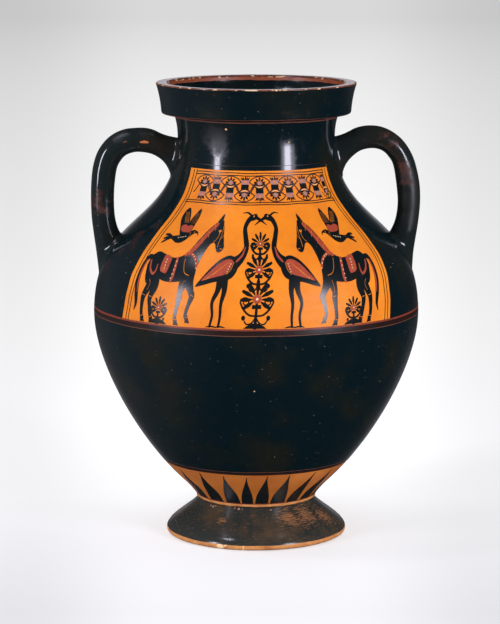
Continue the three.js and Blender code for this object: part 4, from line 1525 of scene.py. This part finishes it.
# %% [markdown]
# ## Room
#
# Gloss shows a room as a mirror does. In front the room is dark, so the black stays black. Behind, the
# sweep is bright above and below and two dark flags hide its middle, so only the shoulders, the narrow
# end of the bowl and the foot catch a pale edge. A wide wall on the left lends that side a faint grey.
# Real walls could be built, but the world's own colour by direction does it with no objects. Matt
# surfaces don't show the room, so they see a plain white one instead.
# %% Room
# each part is the axis that it fades along, from where to where, its two levels, and how tightly it
# gathers behind the jar (0 where it doesn't)
ROOM_PARTS = {
    "sweep_above": ("Z", -0.12, 0.0, 0, 0.95, 40),
    "sweep_below": ("Z", -0.19, -0.4, 0, 1.0, 20),
    "sweep_beside": ("Z", -0.05, -0.3, 0.03, 0.1, 3),
    "left_wall": ("X", -0.3, -0.9, 0.006, 0.12, 0),
}
LIT_ROOM_STRENGTH = 0.82

scene = bpy.context.scene
scene.view_settings.view_transform = "Standard"
world = bpy.data.worlds.new("studio")
world.use_nodes = True
room = world.node_tree
room.nodes.clear()
direction = add_node(room, "ShaderNodeTexCoord").outputs["Generated"]
ahead = add_node(room, "ShaderNodeSeparateXYZ", {0: direction})
behind = add_node(room, "ShaderNodeMath", {0: ahead.outputs["Y"], 1: 0.0}, operation="MAXIMUM")
reflected = None
for axis, start, end, low, high, gathered in ROOM_PARTS.values():
    part = add_node(room, "ShaderNodeMapRange", {
        0: ahead.outputs[axis], 1: start, 2: end, 3: low, 4: high}, interpolation_type="SMOOTHSTEP")
    if gathered:
        beam = add_node(room, "ShaderNodeMath", {0: behind, 1: gathered}, operation="POWER")
        part = add_node(room, "ShaderNodeMath", {0: part, 1: beam}, operation="MULTIPLY")
    reflected = part if reflected is None else add_node(
        room, "ShaderNodeMath", {0: reflected, 1: part}, operation="ADD")
mirror_room = add_node(room, "ShaderNodeBackground", {0: linear("#F3F0FA"), 1: reflected})
lit_room = add_node(room, "ShaderNodeBackground", {0: linear("#FFFFFF"), 1: LIT_ROOM_STRENGTH})
is_glossy = add_node(room, "ShaderNodeLightPath").outputs["Is Glossy Ray"]
whole_room = add_node(room, "ShaderNodeMixShader", {0: is_glossy, 1: lit_room, 2: mirror_room})
add_node(room, "ShaderNodeOutputWorld", {0: whole_room})
scene.world = world
print("parts of the room:", list(ROOM_PARTS))

# %% [markdown]
# ## Soft boxes
#
# Two tall soft boxes stand on either side of the camera, and each draws an upright streak on the neck.
# The right one has a wide, weaker fringe, which softens its streak. A small lamp high on the left gives
# the short glints on shoulder, handles and foot. Their directions were worked out from where the streaks
# lie on the round of the jar: the light comes from twice the angle of the clay that shows it.
# %% Soft boxes
def soft_box(name, azimuth, distance, height, width, tall, power, tint="#F1EEFF"):
    """A soft box at an angle from the camera's direction, aimed at the middle of the jar."""
    data = bpy.data.lights.new(name, "AREA")
    data.shape = "RECTANGLE"
    data.size, data.size_y, data.energy = width, tall, power
    data.color = linear(tint)[:3]
    lamp = bpy.data.objects.new(name, data)
    turn = math.radians(azimuth)
    lamp.location = (distance * math.sin(turn), -distance * math.cos(turn), height)
    aim = np.array([0, 0, 0.32]) - np.array(lamp.location)
    lamp.rotation_euler = (math.atan2(math.hypot(aim[0], aim[1]), -aim[2]), 0, math.atan2(-aim[0], aim[1]))
    bpy.context.scene.collection.objects.link(lamp)
    print(name, "at", [round(v, 2) for v in lamp.location], "with", power, "W")


# azimuth in degrees, then distance, height, width and tallness in metres, then power in watts
soft_box("soft_box_left", -56.5, 2.0, 0.74, 0.26, 0.92, 19)
soft_box("soft_box_right", 45, 2.0, 0.74, 0.32, 0.92, 18)
soft_box("soft_box_right_fringe", 46, 2.05, 0.74, 0.72, 0.92, 9)
soft_box("soft_box_high", -57.6, 0.777, 1.476, 0.2, 0.2, 3.0)

# %% [markdown]
# ## Camera
#
# The photograph is a studio view from three metres with a long lens, a little above the mouth, as the
# ellipses of rim and foot show. A long lens keeps the jar's proportions nearly as an elevation. The
# camera looks down a little, and is turned by a hair, so that the jar stands where it does in the frame.
# %% Camera
CAMERA_DISTANCE, CAMERA_HEIGHT = 3.00803, 0.76674
LOOK_DOWN = 9.55
AIM_ASIDE = 0.0072

camera_data = bpy.data.cameras.new("camera")
camera_data.sensor_fit = "VERTICAL"
camera_data.sensor_height = 36
camera_data.lens = 150.5
camera = bpy.data.objects.new("camera", camera_data)
camera.location = (0, -CAMERA_DISTANCE, CAMERA_HEIGHT)
camera.rotation_euler = (math.radians(90 - LOOK_DOWN), 0, math.atan(AIM_ASIDE / CAMERA_DISTANCE))
scene.collection.objects.link(camera)
scene.camera = camera
print("camera, metres:", [round(v, 3) for v in camera.location])
